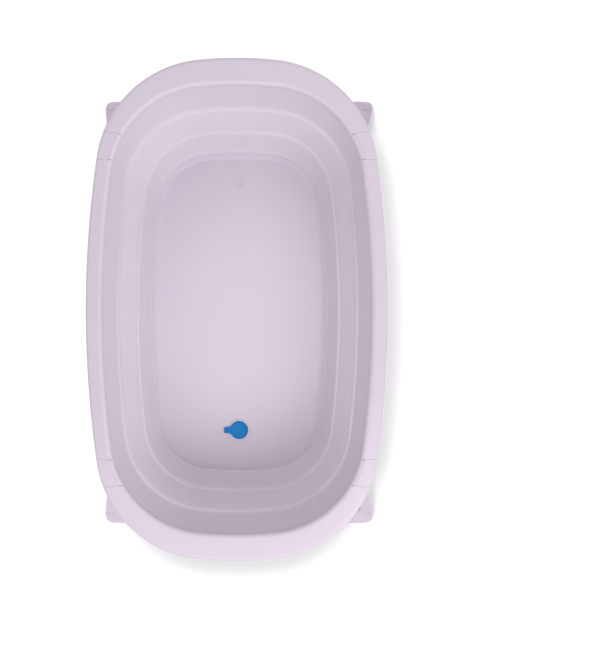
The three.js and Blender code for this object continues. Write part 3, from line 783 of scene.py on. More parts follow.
cap_shares = (CAP_START, *FLANGE_SHARES)
cap_skins = [rim_rails(cap_rail, depth, cap_shares)[len(BEAD_ROWS):] for depth in RIM_DEPTHS[:2]]
cap_first = slab("cap_shape", *cap_skins)
first_places = [(x, y) for x, y in cap_places if x > 0 and y > 0]
cap_first = joined(cap_first, posts(first_places, BOSS_RADIUS, CAP_BOSS_UNDER, TOP - 3))
boss_top = CAP_BOSS_UNDER + SCREW_BITE + GAP
cap_first = cut(cap_first, posts(first_places, SCREW_HOLE, CAP_BOSS_UNDER - 6, boss_top))
mark_edge(cap_first)
for name, signs in QUARTERS.items():
    cap = softened(mirrored(cap_first, f"hinge_cap_cover_{name}", *signs))
    fitted(cap, "rim_plastic", "rim", f"hinge_cap_{name}")
discard(cap_first)

# Wall: one soft moulding of three bands, with a ledge between each two

wall_top = UPPER_HIGH.z
flange_under = wall_top - FLANGE_THICKNESS
pan_line = pan_outer.grow(GAP)
FOLD_ROWS = 22


def drilled(piece, low, high):
    """Cuts holes for the clamp's screws, and clearances round the bosses of the caps."""
    tools = [(clamp_places, SCREW_HOLE), (cap_places, BOSS_RADIUS + GAP)]
    return cut(piece, *[posts(places, radius, low - 3, high + 3) for places, radius in tools])


def wall_rails():
    """The closed section of the wall: down its inner face, and up its outer face to the flange."""
    thick = WALL_THICKNESS
    stations = [(rim_inner, wall_top, 0.6), (rim_inner, flange_under, 3)]
    for foot, ledge in ((upper_foot, UPPER_LEDGE), (fold_foot, LOWER_LEDGE)):
        stations += [(foot, ledge, 1.2), (foot.grow(-LEDGE), ledge, 2.2)]
    stations += [
        (pan_outer.grow(-1.1), PAN_EDGE + 0.3, 0.4), (pan_line, PAN_EDGE + 0.25, 0),
        (pan_line, LOWER_LOW.z, 0.6), (pan_line.grow(thick), LOWER_LOW.z, 0.6),
        (pan_line.grow(thick), PAN_EDGE, 3),
    ]
    for foot, ledge in ((fold_foot, LOWER_LEDGE), (upper_foot, UPPER_LEDGE)):
        edge = foot.grow(thick)
        stations += [(foot.grow(-0.6), ledge - OVERLAP, 0.8), (edge, ledge - OVERLAP, 1.6)]
        stations.append((edge, ledge, 1.6))
    stations += [
        (rim_inner.grow(thick), flange_under, 1.2),
        (rim_inner.grow(FLANGE_WIDTH), flange_under, 0.6),
        (rim_inner.grow(FLANGE_WIDTH), wall_top, 0.6),
    ]
    rails = section(stations)
    out = []
    for here, after in zip(rails, rails[1:] + rails[:1], strict=True):
        drop = abs(here[0, 2] - after[0, 2])
        steps = max(1, round(drop * FOLD_ROWS / (UPPER_LEDGE - LOWER_LEDGE)))
        out += [here + (after - here) * t for t in np.linspace(0, 1, steps + 1)[:-1]]
    return out


wall = drilled(ring("wall", wall_rails()), flange_under, wall_top)
rest_place = wall.data.attributes.new("rest_place", "FLOAT_VECTOR", "POINT")
rest_place.data.foreach_set("vector", vertex_places(wall).ravel())
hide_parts("wall_upper_band", "wall_fold_band", "wall_lower_band")
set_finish(wall, "wall_elastomer")
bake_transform(wall)

# Clamp ring under the rim, with its screws

clamp_corners = [
    (rim_inner.grow(CLAMP_CLEAR), CLAMP_HIGH.z, 0.5),
    (rim_inner.grow(FLANGE_WIDTH), CLAMP_HIGH.z, 0.5),
    (rim_inner.grow(FLANGE_WIDTH), CLAMP_LOW.z, 0.9),
    (rim_inner.grow(CLAMP_CLEAR), CLAMP_LOW.z, 0.9),
]
clamp = drilled(ring("clamp", section(clamp_corners)), CLAMP_LOW.z, CLAMP_HIGH.z)
fitted(weighted(clamp), "inner_plastic", "rim", "wall_clamp_ring")

SCREW_HEAD = [(1.2, 0), (2.2, 0.08), (2.8, 0.45), (3.15, 1.05), (3.2, 2.0), (3.1, 2.2), (1.5, 2.2)]
SCREW_SIDES = 24
SCREW_CORE = 1.25
THREAD_PITCH = 1.1
THREAD_ROWS = 5
SCREW_TAPER = 2.2  # the length in which a screw's tip would narrow to a point
RECESS_HALF = (1.9, 0.45)
RECESS_DEPTH = 1.2
SCREW_TURN = 0.65  # from one screw to the next, so that their recesses don't line up


def screw_shape(length):
    """A screw that points up: a domed head with a cross recess, and a thread to a blunt tip."""
    rails = [raised(circle(radius, SCREW_SIDES), z) for radius, z in SCREW_HEAD]
    turn = np.arange(SCREW_SIDES) / SCREW_SIDES
    first = SCREW_HEAD[-1][1] + 0.5
    rows = round((length - first) / THREAD_PITCH * THREAD_ROWS)
    for z in np.linspace(first, length, rows):
        ridge = np.abs((z / THREAD_PITCH - turn) % 1 - 0.5) * 2
        deep = (SCREW_RADIUS - SCREW_CORE) * np.clip(1.6 * ridge - 0.6, 0, 1)
        radius = (SCREW_CORE + deep) * min(1, 0.3 + (length - z) / SCREW_TAPER)
        rails.append(raised(circle(radius, SCREW_SIDES), z))
    bars = []
    for x, y in (RECESS_HALF, RECESS_HALF[::-1]):
        bars.append(block("recess", (-x, -y, -1), (x, y, RECESS_DEPTH)))
    return cut(dish("screw_shape", rails), joined(*bars))


for kind in ("clamp_screw", "bracket_screw"):
    boxes = screw_boxes(kind)
    low, high = next(iter(boxes.values()))
    shape = screw_shape(high.z - low.z)
    for k, (node, (low, high)) in enumerate(boxes.items()):
        middle = (low + high) / 2
        turn = Matrix.Rotation(SCREW_TURN * k, 4, "Z")
        place = Matrix.Translation((middle.x, middle.y, low.z)) @ turn
        piece = weighted(copied(shape, node.replace("_screw", "_fixing"), place))
        fitted(piece, "screw_steel", "rim", node)
    discard(shape)

# Hinge brackets: a plate with two ears that hold the pin


def stretch(oval, low, high):
    """Points of an oval's right side between two values of Y."""
    ends = [oval.crossing(lambda _, y, limit=limit: y > limit) for limit in (low, high)]
    return oval.at(np.linspace(*ends, 9))


def at_pivot(piece, side=1):
    """Turns a solid drawn upright so that it lies along X, at the pivot of one side."""
    return moved(piece, Matrix.Translation((side * PIVOT_X, PIVOT_Y, PIVOT_Z)) @ ALONG_X)


def pin_bore(side=1):
    reach = 2 * EAR_FAR
    return at_pivot(turned("bore", [(PIN_BORE, -reach), (PIN_BORE, reach)], 48), side)


def bracket_shape():
    inner = stretch(rim_inner.grow(PLATE_INSET), PLATE_LOW.y, PLATE_HIGH.y)
    outer = stretch(rim_outer.grow(-2 * SEAT_DEPTH), PLATE_LOW.y, PLATE_HIGH.y)
    corners = []
    for side in (outer, inner[::-1]):
        corners += [(x, y, 3 if k in (0, len(side) - 1) else 0) for k, (x, y) in enumerate(side)]
    plate = extruded("bracket_shape", filleted(corners), PLATE_UNDER, PLATE_TOP, 0.6)
    foot = arc(LEG_HEAD_RADIUS, np.linspace(math.pi, 2 * math.pi, 25))
    root = PLATE_UNDER - PIVOT_Z + 1
    root_half = LEG_HEAD_RADIUS - 0.7
    ear_outline = np.concatenate([foot, [(root_half, root), (-root_half, root)]])
    ears = []
    for near, far in ((-EAR_FAR, -EAR_NEAR), (EAR_NEAR, EAR_FAR)):
        ears.append(at_pivot(extruded("ear", ear_outline, near, far, 0.5)))
    holes = posts(first_places, SCREW_HOLE, PLATE_UNDER - 3, PLATE_TOP + 3)
    return cut(joined(plate, *ears), pin_bore(), holes)


def pin_shape():
    """A pin along X about the pivot, with a grooved end and a slotted domed head outside."""
    face = EAR_FAR + GAP
    groove = PIN_RADIUS - 0.5
    outline = [
        *offset(0, -EAR_FAR, (3, 0), (3.4, 0.12), (PIN_RADIUS, 0.6), (PIN_RADIUS, 1.5)),
        *offset(0, -EAR_FAR, (groove, 1.7), (groove, 2.5), (PIN_RADIUS, 2.7)),
        *offset(0, face, (PIN_RADIUS, 0), (5.7, 0), (6, 0.25), (5.95, 0.8), (5.4, 1.4)),
        *offset(0, face, (4.2, 1.82), (2.6, 2)),
    ]
    slot = block("slot", (-3.4, -0.6, face + 1.1), (3.4, 0.6, face + 3))
    return moved(cut(turned("pin_shape", outline, 48), slot), ALONG_X)


bracket_first = bracket_shape()
pin_first = pin_shape()
for name, (sx, sy) in QUARTERS.items():
    bracket = weighted(mirrored(bracket_first, f"bracket_{name}", sx, sy))
    fitted(bracket, "inner_plastic", "rim", f"hinge_bracket_{name}")
    turn = Matrix.Rotation(0 if sx > 0 else math.pi, 4, "Z")
    place = Matrix.Translation((PIVOT_X * sx, PIVOT_Y * sy, PIVOT_Z)) @ turn
    pin = weighted(copied(pin_first, f"pin_{name}", place))
    fitted(pin, "screw_steel", "rim", f"hinge_pin_{name}")
discard(bracket_first)
discard(pin_first)

# Leg frames: a flat U that leans outwards from the pivots, ribbed on its inner face

GROUND = FRAME_LOW.z
FOOT_OUTER = FRAME_HIGH.x
FOOT_INNER = FOOT_OUTER - FOOT_WIDTH
FOOT_DEPTH = (PIVOT_Z - GROUND) / math.cos(SPLAY)  # along the frame, from pivot to ground cut
BAR_EDGE = FOOT_DEPTH - BAR_DEPTH
FOOT_Y = PIVOT_Y + (PIVOT_Z - GROUND) * math.tan(SPLAY)
HALF_HEAD = LEG_HEAD_WIDTH / 2
HALF_THICK = LEG_THICKNESS / 2
ON_LEG = Matrix.Translation((0, PIVOT_Y, PIVOT_Z)) @ Matrix.Rotation(SPLAY - math.pi / 2, 4, "X")


def arm_edge(depth, side):
    """How far from the tub's middle an arm's outer or inner edge is, at a depth below the pivot."""
    share = max(0.0, depth - ARM_STRAIGHT)
    if side > 0:
        rise = (FOOT_OUTER - PIVOT_X - HALF_HEAD) / (FOOT_DEPTH - SHOULDER - ARM_STRAIGHT)
        return min(FOOT_OUTER, PIVOT_X + HALF_HEAD + rise * share)
    rise = (FOOT_INNER - PIVOT_X + HALF_HEAD) / (BAR_EDGE - 10 - ARM_STRAIGHT)
    return PIVOT_X - HALF_HEAD + rise * share


def leg_outline(depth):
    """The U, with X to the side and Y down along the leg, at a depth through its thickness."""
    ground = FOOT_DEPTH + depth * math.tan(SPLAY)
    right = [
        (PIVOT_X - HALF_HEAD, 0, 0), (PIVOT_X + HALF_HEAD, 0, 0),
        (PIVOT_X + HALF_HEAD, ARM_STRAIGHT, ARM_BEND),
        (FOOT_OUTER, FOOT_DEPTH - SHOULDER, ARM_BEND), (FOOT_OUTER, ground, TOE_RADIUS),
    ]
    left = [(-x, y, radius) for x, y, radius in reversed(right)]
    bar_end = arm_edge(BAR_EDGE, -1)
    inside = [
        (PIVOT_X - HALF_HEAD, ARM_STRAIGHT, ARM_BEND), (bar_end, BAR_EDGE, BAR_BEND),
        (-bar_end, BAR_EDGE, BAR_BEND), (HALF_HEAD - PIVOT_X, ARM_STRAIGHT, ARM_BEND),
    ]
    return filleted(right + left + inside[::-1], 10)


def head_outline():
    """The leg's round head seen from the side, with the nose that stops under the bracket's plate."""
    nose_top = PLATE_UNDER - GAP - PIVOT_Z
    back = arc(LEG_HEAD_RADIUS, np.linspace(2 * math.pi / 3, 2 * math.pi, 40))
    nose = [(NOSE_REACH, 0, 0), (NOSE_REACH, nose_top, 3), (0, nose_top, 1), (-6, 9, 0)]
    return np.concatenate([back, filleted(nose)[1:-1]])


def arm_window(side, near, far, margin, radius, steps):
    """A window in one arm between two depths, whose sides keep a margin from the arm's edges."""
    corners = []
    for depth, edge in ((near, -1), (near, 1), (far, 1), (far, -1)):
        corners.append((side * (arm_edge(depth, edge) - edge * margin), depth, radius))
    return filleted(corners[::side], steps)


def leg_cells():
    """The hollows between the ribs on the inner face of a frame."""
    radius = 1.8
    cells = []
    for side in (-1, 1):
        for near, far in itertools.pairwise(np.linspace(30, BAR_EDGE - 6, ARM_CELLS + 1)):
            cells.append(arm_window(side, near, far - CELL_RIB, CELL_WALL, radius, 4))
    low = BAR_EDGE + CELL_WALL
    high = FOOT_DEPTH - HALF_THICK * math.tan(SPLAY) - CELL_WALL
    for left, right in itertools.pairwise(np.linspace(-BAR_REACH, BAR_REACH, BAR_CELLS + 1)):
        cells.append(filleted(box_corners((left, low), (right - CELL_RIB, high), radius), 4))
    return gathered([prism("cell", cell, -HALF_THICK - 1, HALF_THICK - 4) for cell in cells])


def leg_panels():
    """Shallow panels sunk into the outer face of a frame, down each arm and along the bar."""
    panels = [arm_window(side, 34, BAR_EDGE - 14, PANEL_MARGIN, 2, 5) for side in (-1, 1)]
    half = BAR_REACH - 3
    bar = box_corners((-half, BAR_EDGE + PANEL_MARGIN + 1), (half, FOOT_DEPTH - 2), 5)
    panels.append(filleted(bar, 5))
    return gathered([prism("panel", panel, HALF_THICK - 0.7, HALF_THICK + 1) for panel in panels])


def stem_places():
    return [(PAD_X + side * STEM_SPACING / 2, FOOT_Y) for side in (-1, 1)]


def leg_shape():
    layers = eased(-HALF_THICK, HALF_THICK, 1.8, 5)
    rails = [raised(inset(leg_outline(depth), edge), depth) for edge, depth in layers]
    leg = moved(cut(dish("leg_shape", rails), leg_cells(), leg_panels()), ON_LEG)
    for side in (-1, 1):
        head = extruded("head", head_outline(), -HALF_HEAD, HALF_HEAD, 0.8)
        leg = joined(leg, at_pivot(head, side))
    stems = [(side * x, y) for x, y in stem_places() for side in (-1, 1)]
    holes = posts(stems, STEM_RADIUS + GAP, -1, PAD_HIGH.z + GAP)
    return cut(leg, pin_bore(-1), pin_bore(), holes)


def pad_shape():
    """A rubber foot with rounded edges, grooves across its sole and two barbed stems."""
    half_x = PAD_HIGH.x - PAD_X
    half_y = (PAD_HIGH.y - PAD_LOW.y) / 2
    outline = filleted(box_corners((-half_x, -half_y), (half_x, half_y), 5), 8) + (PAD_X, FOOT_Y)
    pad = extruded("pad_shape", outline, 0, GROUND - GAP, 0.9)
    stem_outline = [
        (STEM_RADIUS - 0.5, GROUND / 2), *offset(STEM_RADIUS, GROUND, (-0.5, 2.6), (0, 3), (0, 4)),
        *offset(STEM_RADIUS, PAD_HIGH.z, (-0.9, -0.3), (-1.3, 0)),
    ]
    stems = gathered([turned("stem", stem_outline, 32, x, y) for x, y in stem_places()])
    grooves = []
    for k in range(SOLE_GROOVES):
        x = PAD_X + (k - SOLE_GROOVES // 2) * SOLE_PITCH
        low = (x - 0.7, FOOT_Y - half_y - 1, -1)
        grooves.append(block("groove", low, (x + 0.7, FOOT_Y + half_y + 1, 0.8)))
    return cut(joined(pad, stems), gathered(grooves))


leg_first = leg_shape()
pad_first = pad_shape()
for end, sy in ENDS.items():
    leg = softened(mirrored(leg_first, f"leg_{end}", 1, sy))
    fitted(leg, "leg_plastic", f"{end}_leg", f"leg_frame_{end}")
    for side, sx in SIDES.items():
        pad = softened(mirrored(pad_first, f"pad_{end}_{side}", sx, sy), 0.2)
        fitted(pad, "pad_rubber", f"{end}_leg", f"foot_pad_{end}_{side}")
discard(leg_first)
discard(pad_first)

# Base pan

FLOOR_MIDDLE = FLOOR_TOP - PAN_FLOOR / 2
# Corners: how far inside the pan's outer face, a height, and how far the corner is cut
PAN_TURN = [
    (12, FLOOR_UNDER, 0), (5, FLOOR_UNDER, 5), (0, FLOOR_TOP + 6, 5), (0, PAN_EDGE, 0.8),
    (PAN_WALL, PAN_EDGE, 1.1), (PAN_WALL, FLOOR_TOP + 8, 5), (PAN_WALL + 7, FLOOR_TOP, 6.5),
    (PAN_WALL + 15, FLOOR_TOP, 0),
]
SKIRT_TURN = [
    (SKIRT_INSET, PAN_LOW.z, 1.2), (SKIRT_INSET, FLOOR_MIDDLE, 0),
    (SKIRT_INSET + SKIRT_WALL, FLOOR_MIDDLE, 0), (SKIRT_INSET + SKIRT_WALL, PAN_LOW.z, 1.2),
]


def pan_rails(corners, steps=4):
    return section([(pan_outer.grow(-inward), z, turn) for inward, z, turn in corners], steps)


def rib_bars():
    """Five ribs across and two along, cut off inside the skirt."""
    low, high = FLOOR_UNDER - RIB_DEPTH, FLOOR_MIDDLE
    half = RIB / 2
    bars = []
    for k in range(CROSS_RIBS):
        y = (k - (CROSS_RIBS - 1) / 2) * RIB_PITCH
        bars.append(block("rib", (-PAN_HIGH.x, y - half, low), (PAN_HIGH.x, y + half, high)))
    for x in (-RIB_PITCH / 2, RIB_PITCH / 2):
        bars.append(block("rib", (x - half, -PAN_HIGH.y, low), (x + half, PAN_HIGH.y, high)))
    inside = pan_outer.grow(-SKIRT_INSET - SKIRT_WALL / 2)
    disc = dish("rib_limit", [rail(inside, low - 1), rail(inside, high + 1)])
    return common(joined(*bars), disc)


pan = dish("pan", pan_rails(PAN_TURN, 6))
pan = joined(pan, ring("skirt", pan_rails(SKIRT_TURN)), rib_bars())
GATE_Y = 226  # the mark that moulding leaves on the floor, near the head end
PAD_UNDER = FLOOR_UNDER - 2
PAD_RADIUS = TUBE_RADIUS + 8
under_pad = [(PAD_RADIUS, PAN_LOW.z), (PAD_RADIUS, PAD_UNDER)]
pad = [(PAD_RADIUS - 1, PAD_UNDER), (PAD_RADIUS, PAD_UNDER + 1), (PAD_RADIUS, FLOOR_TOP - 1.5)]
hole = [(TUBE_RADIUS + GAP, PAN_LOW.z), (TUBE_RADIUS + GAP, TOP)]
recess = [(SEAT_RADIUS + GAP, FLOOR_TOP - 1.4), (SEAT_RADIUS + GAP, TOP)]
gate = [(2, FLOOR_TOP - 1), (5, FLOOR_TOP - 0.85), (9.5, FLOOR_TOP + 0.05), (9.7, TOP)]
pan = cut(pan, turned("under_pad", under_pad, y=DRAIN_Y))
pan = joined(pan, turned("drain_pad", pad, y=DRAIN_Y))
for outline, y in ((hole, DRAIN_Y), (recess, DRAIN_Y), (gate, GATE_Y)):
    pan = cut(pan, turned("opening", outline, y=y))
fitted(weighted(pan), "base_plastic", "base", "base_pan")

# Drain: a flanged seat, a nut with grips below the floor, and the plug

seat_top = SEAT_HIGH.z
seat_under = seat_top - 1.4
seat_outline = [
    (DRAIN_BORE + 0.6, SEAT_LOW.z), (TUBE_RADIUS - 0.6, SEAT_LOW.z),
    (TUBE_RADIUS, SEAT_LOW.z + 0.6), (TUBE_RADIUS, seat_under), (SEAT_RADIUS - 0.3, seat_under),
    (SEAT_RADIUS, seat_under + 0.3), (SEAT_RADIUS, seat_top - 0.5), (SEAT_RADIUS - 0.5, seat_top),
    (DRAIN_BORE + 1, seat_top), (DRAIN_BORE, seat_top - 1), (DRAIN_BORE, SEAT_LOW.z + 0.6),
]
seat = turned("seat", seat_outline, 96, y=DRAIN_Y, loft=ring)
fitted(weighted(seat), "inner_plastic", "base", "drain_seat")

NUT_GRIPS = 10
NUT_SIDES = 160
NUT_WAVE = 0.7  # half the depth of the grips


def nut_rails():
    """A ring with shallow finger grips round its outside."""
    bore = TUBE_RADIUS + GAP
    turn = np.linspace(0, 2 * math.pi, NUT_SIDES, endpoint=False)
    outside = NUT_HIGH.x - NUT_WAVE + NUT_WAVE * np.clip(1.6 * np.cos(NUT_GRIPS * turn), -1, 1)
    levels = (NUT_LOW.z, NUT_LOW.z, NUT_HIGH.z, NUT_HIGH.z)
    rails = []
    for radius, z in zip((bore, outside, outside, bore), levels, strict=True):
        rails.append(raised(circle(radius, NUT_SIDES, y=DRAIN_Y), z))
    return rounded(rails, (0.5, 0.8, 0.8, 0.5))


nut = ring("nut", nut_rails())
fitted(weighted(nut), "inner_plastic", "base", "drain_nut")

# The plug: a crowned disc over a tapered bung, with a necked finger tab towards -X

PLUG_DISC = PLUG_HIGH.z
PLUG_UNDER = seat_top + GAP
BUNG_RADIUS = DRAIN_BORE - GAP
plug_outline = [
    *offset(BUNG_RADIUS, PLUG_LOW.z, (-2, 0), (-0.9, 0.7)),
    *offset(BUNG_RADIUS, PLUG_UNDER, (-0.6, -4), (0, -3.4), (0, -2.6), (-0.5, -2), (-0.3, 0)),
    *offset(PLUG_RADIUS, PLUG_UNDER, (-0.5, 0), (-0.1, 0.3), (0, 0.9), (-0.2, 1.8)),
    *offset(PLUG_RADIUS, PLUG_DISC, (-0.8, -0.7), (-1.8, -0.15), (-2.8, 0), (-3.8, -0.15)),
    *offset(PLUG_RADIUS, PLUG_DISC, (-4.6, -0.5)), (5, PLUG_DISC - 0.6),
]
plug = turned("plug", plug_outline, 96, y=DRAIN_Y)

TAB_REACH = -PLUG_LOW.x
TAB_WIDTH = 10.6
NECK_WIDTH = 9.4


def tab_outline(inward):
    """The finger tab seen from above: a neck that flares out of the disc, and a squarish knob."""
    tip = TAB_REACH - inward
    half = TAB_WIDTH / 2 - inward
    neck = NECK_WIDTH / 2 - inward
    side = [
        (4, PLUG_RADIUS - 4 - inward), (9, 11.4 - inward), (12.5, 8.9 - inward),
        (15.5, 6.5 - inward), (18, neck + 0.4), (20, neck), (21.5, half - 0.25), (22.5, half),
        (tip - 1.9, half), (tip - 0.7, half - 0.6), (tip - 0.1, half - 1.8),
    ]
    upper = np.array(side) * (-1, 1)
    return np.concatenate([upper, upper[::-1] * (1, -1)]) + (0, DRAIN_Y)


tab_low = PLUG_UNDER + 0.5
tab_high = PLUG_DISC - 0.35
tab_layers = [
    *offset(0, tab_low, (0.5, 0), (0.12, 0.2), (0, 0.6)),
    *offset(0, tab_high, (0, -0.8), (0.2, -0.3), (0.8, 0)),
]
tab = dish("tab", [raised(tab_outline(inward), z) for inward, z in tab_layers])
GRIP_HALF = 2.9
GRIP_WIDTH = 0.7
grips = []
for k in range(3):
    x = 1.6 + 1.5 * k - TAB_REACH
    low = (x, DRAIN_Y - GRIP_HALF, tab_high - 0.4)
    grips.append(block("grip", low, (x + GRIP_WIDTH, DRAIN_Y + GRIP_HALF, tab_high + 1)))
plug = joined(plug, cut(tab, *grips))
fitted(weighted(plug), "plug_elastomer", "plug", "drain_plug")

# Materials


def linear(colour):
    """A linear colour from sRGB values of 0 to 255."""
    shares = np.array(colour) / 255
    low = shares / 12.92
    high = ((shares + 0.055) / 1.055) ** 2.4
    return (*np.where(shares <= 0.04045, low, high), 1.0)


def scaled(colour, factor):
    return tuple(min(1.0, c * factor) for c in colour[:3]) + (1.0,)


class Surface:
    """A material whose colour, roughness and relief come from noise in the piece's own space."""

    def __init__(self, name, place=None, **settings):
        self.material = bpy.data.materials.new(name)
        self.material.use_nodes = True
        self.nodes = self.material.node_tree.nodes
        self.links = self.material.node_tree.links
        self.shader = self.nodes["Principled BSDF"]
        for socket, value in settings.items():
            self.put(value, self.shader.inputs[socket.replace("_", " ")])
        self.place = self.stored(place, "Vector") if place else self.made("TexCoord", "Object")
        self.height = None

    def put(self, value, socket):
        """Gives a socket its value, or links it to another node's output."""
        if isinstance(value, bpy.types.NodeSocket):
            self.links.new(value, socket)
        else:
            socket.default_value = value

    def made(self, kind, output, inputs=(), **settings):
        """The output of a new node, whose inputs are named or numbered."""
        node = self.nodes.new(f"ShaderNode{kind}")
        for name, setting in settings.items():
            setattr(node, name, setting)
        for socket, value in dict(inputs).items():
            self.put(value, node.inputs[socket])
        return node.outputs[output]

    def stored(self, name, output):
        """What each vertex holds under a name."""
        return self.made("Attribute", output, attribute_name=name)

    def noise(self, size, detail):
        """Noise with features of a size in millimetres, from 0 to 1."""
        inputs = {"Vector": self.place, "Scale": 1 / (size * MM), "Detail": detail}
        return self.made("TexNoise", "Fac", inputs)

    def spread(self, value, low, high, first=0.3, last=0.7):
        """A value brought from one range to another."""
        ranges = {"From Min": first, "From Max": last, "To Min": low, "To Max": high}
        return self.made("MapRange", "Result", {"Value": value, **ranges})

    def distance(self, axis):
        """How far a point is from the middle of the tub along an axis, in metres."""
        along = self.made("SeparateXYZ", axis, {"Vector": self.place})
        return self.made("Math", "Value", {0: along}, operation="ABSOLUTE")

    def near(self, place, radius):
        """1 at a place in millimetres, falling to 0 at a radius from it."""
        ends = {0: self.place, 1: Vector(place) * MM}
        away = self.made("VectorMath", "Value", ends, operation="DISTANCE")
        return self.spread(away, 1, 0, 0.2 * radius * MM, radius * MM)

    def ramp(self, value, stops):
        """A value looked up in a table of stops, with straight lines between them."""
        low, high = stops[0][0], stops[-1][0]
        colour = self.made("ValToRGB", "Color", {"Fac": self.spread(value, 0, 1, low, high)})
        elements = colour.node.color_ramp.elements
        while len(elements) < len(stops):
            elements.new(1.0)
        for element, (place, shade) in zip(elements, stops, strict=True):
            element.position = (place - low) / (high - low)
            element.color = (shade, shade, shade, 1)
        return colour

    def mix(self, factor, first, second):
        """One colour mixed into another: the sockets are numbered, as three kinds share a name."""
        inputs = {0: factor, 6: first, 7: second}
        return self.made("Mix", 2, inputs, data_type="RGBA")

    def relief(self, value, depth):
        """Raises the surface by a value times a depth in millimetres."""
        inputs = {"Strength": 1, "Distance": depth * MM, "Height": value}
        if self.height:
            inputs["Normal"] = self.height
        self.height = self.made("Bump", "Normal", inputs)
        self.put(self.height, self.shader.inputs["Normal"])


# The scene's own material for each slot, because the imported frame's materials have the same names
LOOKS = {}


def moulded(
    name, colour, roughness, grain, clouds=(0.975, 1.015), bands=None, darkest=1.0, height=None,
    blush=None, **settings,
):
    """Moulded plastic with faint clouds of colour, worn edges, wandering gloss and a fine grain.

    Bands are tables of heights and shades for its sides and its ends, where 0 is the darkest factor
    and 1 the clouds' own colour. They paint light and shade onto the surface, and on the wall also
    part of its bands' own tones.
    """
    surface = Surface(name, **settings)
    base = linear(colour)
    cloudy = surface.spread(surface.noise(90, 2), 0, 1)
    tint = surface.mix(cloudy, *(scaled(base, factor) for factor in clouds))
    # Painted light and shade by height, faded from the sides' table into the ends' table towards the
    # tub's ends
    if bands:
        level = surface.stored(height, "Fac") if height else surface.distance("Z")
        sides, ends = [surface.ramp(level, [(z * MM, shade) for z, shade in table]) for table in bands]
        first, last = END_FADE
        towards_end = surface.spread(surface.distance("Y"), 0, 1, first * MM, last * MM)
        tint = surface.mix(surface.mix(towards_end, sides, ends), scaled(base, darkest), tint)
    if blush:
        tint = surface.mix(surface.near(blush, BLUSH_RADIUS), tint, scaled(base, darkest * 0.92))
    specks = surface.spread(surface.noise(0.9, 2), 0, 0.25, 0.45, 0.75)
    speckled = surface.mix(specks, tint, scaled(base, 0.9))
    # Pointiness is about 0.5 where the surface is flat, and more along its edges
    worn = surface.spread(surface.made("NewGeometry", "Pointiness"), 0, 0.5, 0.53, 0.6)
    gloss = surface.spread(surface.noise(6, 4), roughness - 0.05, roughness + 0.05)
    surface.put(surface.mix(worn, speckled, scaled(base, 1.08)), surface.shader.inputs["Base Color"])
    surface.put(gloss, surface.shader.inputs["Roughness"])
    surface.relief(surface.noise(30, 2), 0.15)
    surface.relief(surface.noise(0.6, 3), grain)
    LOOKS[name] = surface.material


BLUSH_RADIUS = 15  # of the dull spot that moulding leaves round its gate
# The span over which the sides' painted shades give way to the ends' painted shades
END_FADE = (150, 270)  # how far along the tub its sides' shades give way to its ends' shades
# Height, and how light the wall is there. The fold band is lighter than the bands above and below it,
# partly as a moulding of its own and partly as painted light; along the sides the ledges are painted
# shade, dark against the light they catch, and at the ends the wall's foot is painted light and its
# top painted shade
WALL_SIDES = [
    (PAN_EDGE, 0.3), *offset(LOWER_LEDGE, 0, (-5, 0.3), (-2.5, 0.05), (1, 0.05), (4, 0.85)),
    *offset(UPPER_LEDGE, 0, (-5, 0.85), (-2.5, 0.05), (1, 0.05), (4, 0.3)), (UPPER_HIGH.z, 0.3),
]
WALL_ENDS = [
    *offset(PAN_EDGE, 0, (0, 0.9), (2, 0.8), (6, 0.4)),
    *offset(LOWER_LEDGE, 0, (-8, 0.4), (-2, 0.6), (1, 0.85), (4, 0.9)),
    *offset(UPPER_LEDGE, 0, (0, 0.9), (2, 0.6), (8, 0.3)), (UPPER_HIGH.z, 0.2),
]
# The pan's inner wall is painted lighter towards its edge, as painted light over the shade in the
# corner between floor and wall, less along the sides than at the ends
PAN_SIDES = [(FLOOR_TOP + 1, 0), (FLOOR_TOP + 8, 0.6), (PAN_EDGE, 0.65)]
PAN_ENDS = [(FLOOR_TOP + 1, 0), (FLOOR_TOP + 8, 0.5), (PAN_EDGE, 1)]
# Painted shade and light on the rim: its turned-down outer edge is painted darker than the flange, its
# inner lip, whose heights are mirrored above the top, is painted lighter, and its sides are painted
# darker than its ends
RIM_HEIGHTS = (-18, -7, -3.9, -2.7, 2.7, 5)
RIM_SIDES = offset(TOP, 0, *zip(RIM_HEIGHTS, (0.56, 0, 0, 0.56, 0.56, 0.8), strict=True))
RIM_ENDS = offset(TOP, 0, *zip(RIM_HEIGHTS, (0.77, 0.33, 0.33, 0.77, 0.77, 0.9), strict=True))
moulded(
    "rim_plastic", (218, 206, 220), 0.42, 0.006, clouds=(1.07, 1.1), bands=(RIM_SIDES, RIM_ENDS),
    darkest=0.86, height="edge_height", IOR=1.49,
)
moulded(
    "wall_elastomer", (224, 215, 226), 0.6, 0.012, clouds=(1, 1.03), bands=(WALL_SIDES, WALL_ENDS),
    darkest=0.85, place="rest_place", IOR=1.45,
)
moulded(
    "base_plastic", (206, 197, 209), 0.5, 0.012, clouds=(1.13, 1.16), bands=(PAN_SIDES, PAN_ENDS),
    blush=(0, GATE_Y, FLOOR_TOP), IOR=1.49,
)
moulded("inner_plastic", (214, 202, 219), 0.55, 0.012, IOR=1.49)
# The legs are darker than the rim, partly as a plastic of their own and partly as painted shade from
# the rim that hangs over them
moulded("leg_plastic", (202, 189, 205), 0.48, 0.01, IOR=1.49)
moulded("plug_elastomer", (8, 121, 191), 0.42, 0.008, IOR=1.46, Specular_IOR_Level=0.2)
moulded("pad_rubber", (228, 226, 229), 0.75, 0.03, IOR=1.5)
moulded("screw_steel", (190, 192, 196), 0.35, 0.003, Metallic=1.0)

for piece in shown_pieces():
    piece.data.materials.clear()
    piece.data.materials.append(LOOKS[piece["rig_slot"]])

# Floor, light and camera

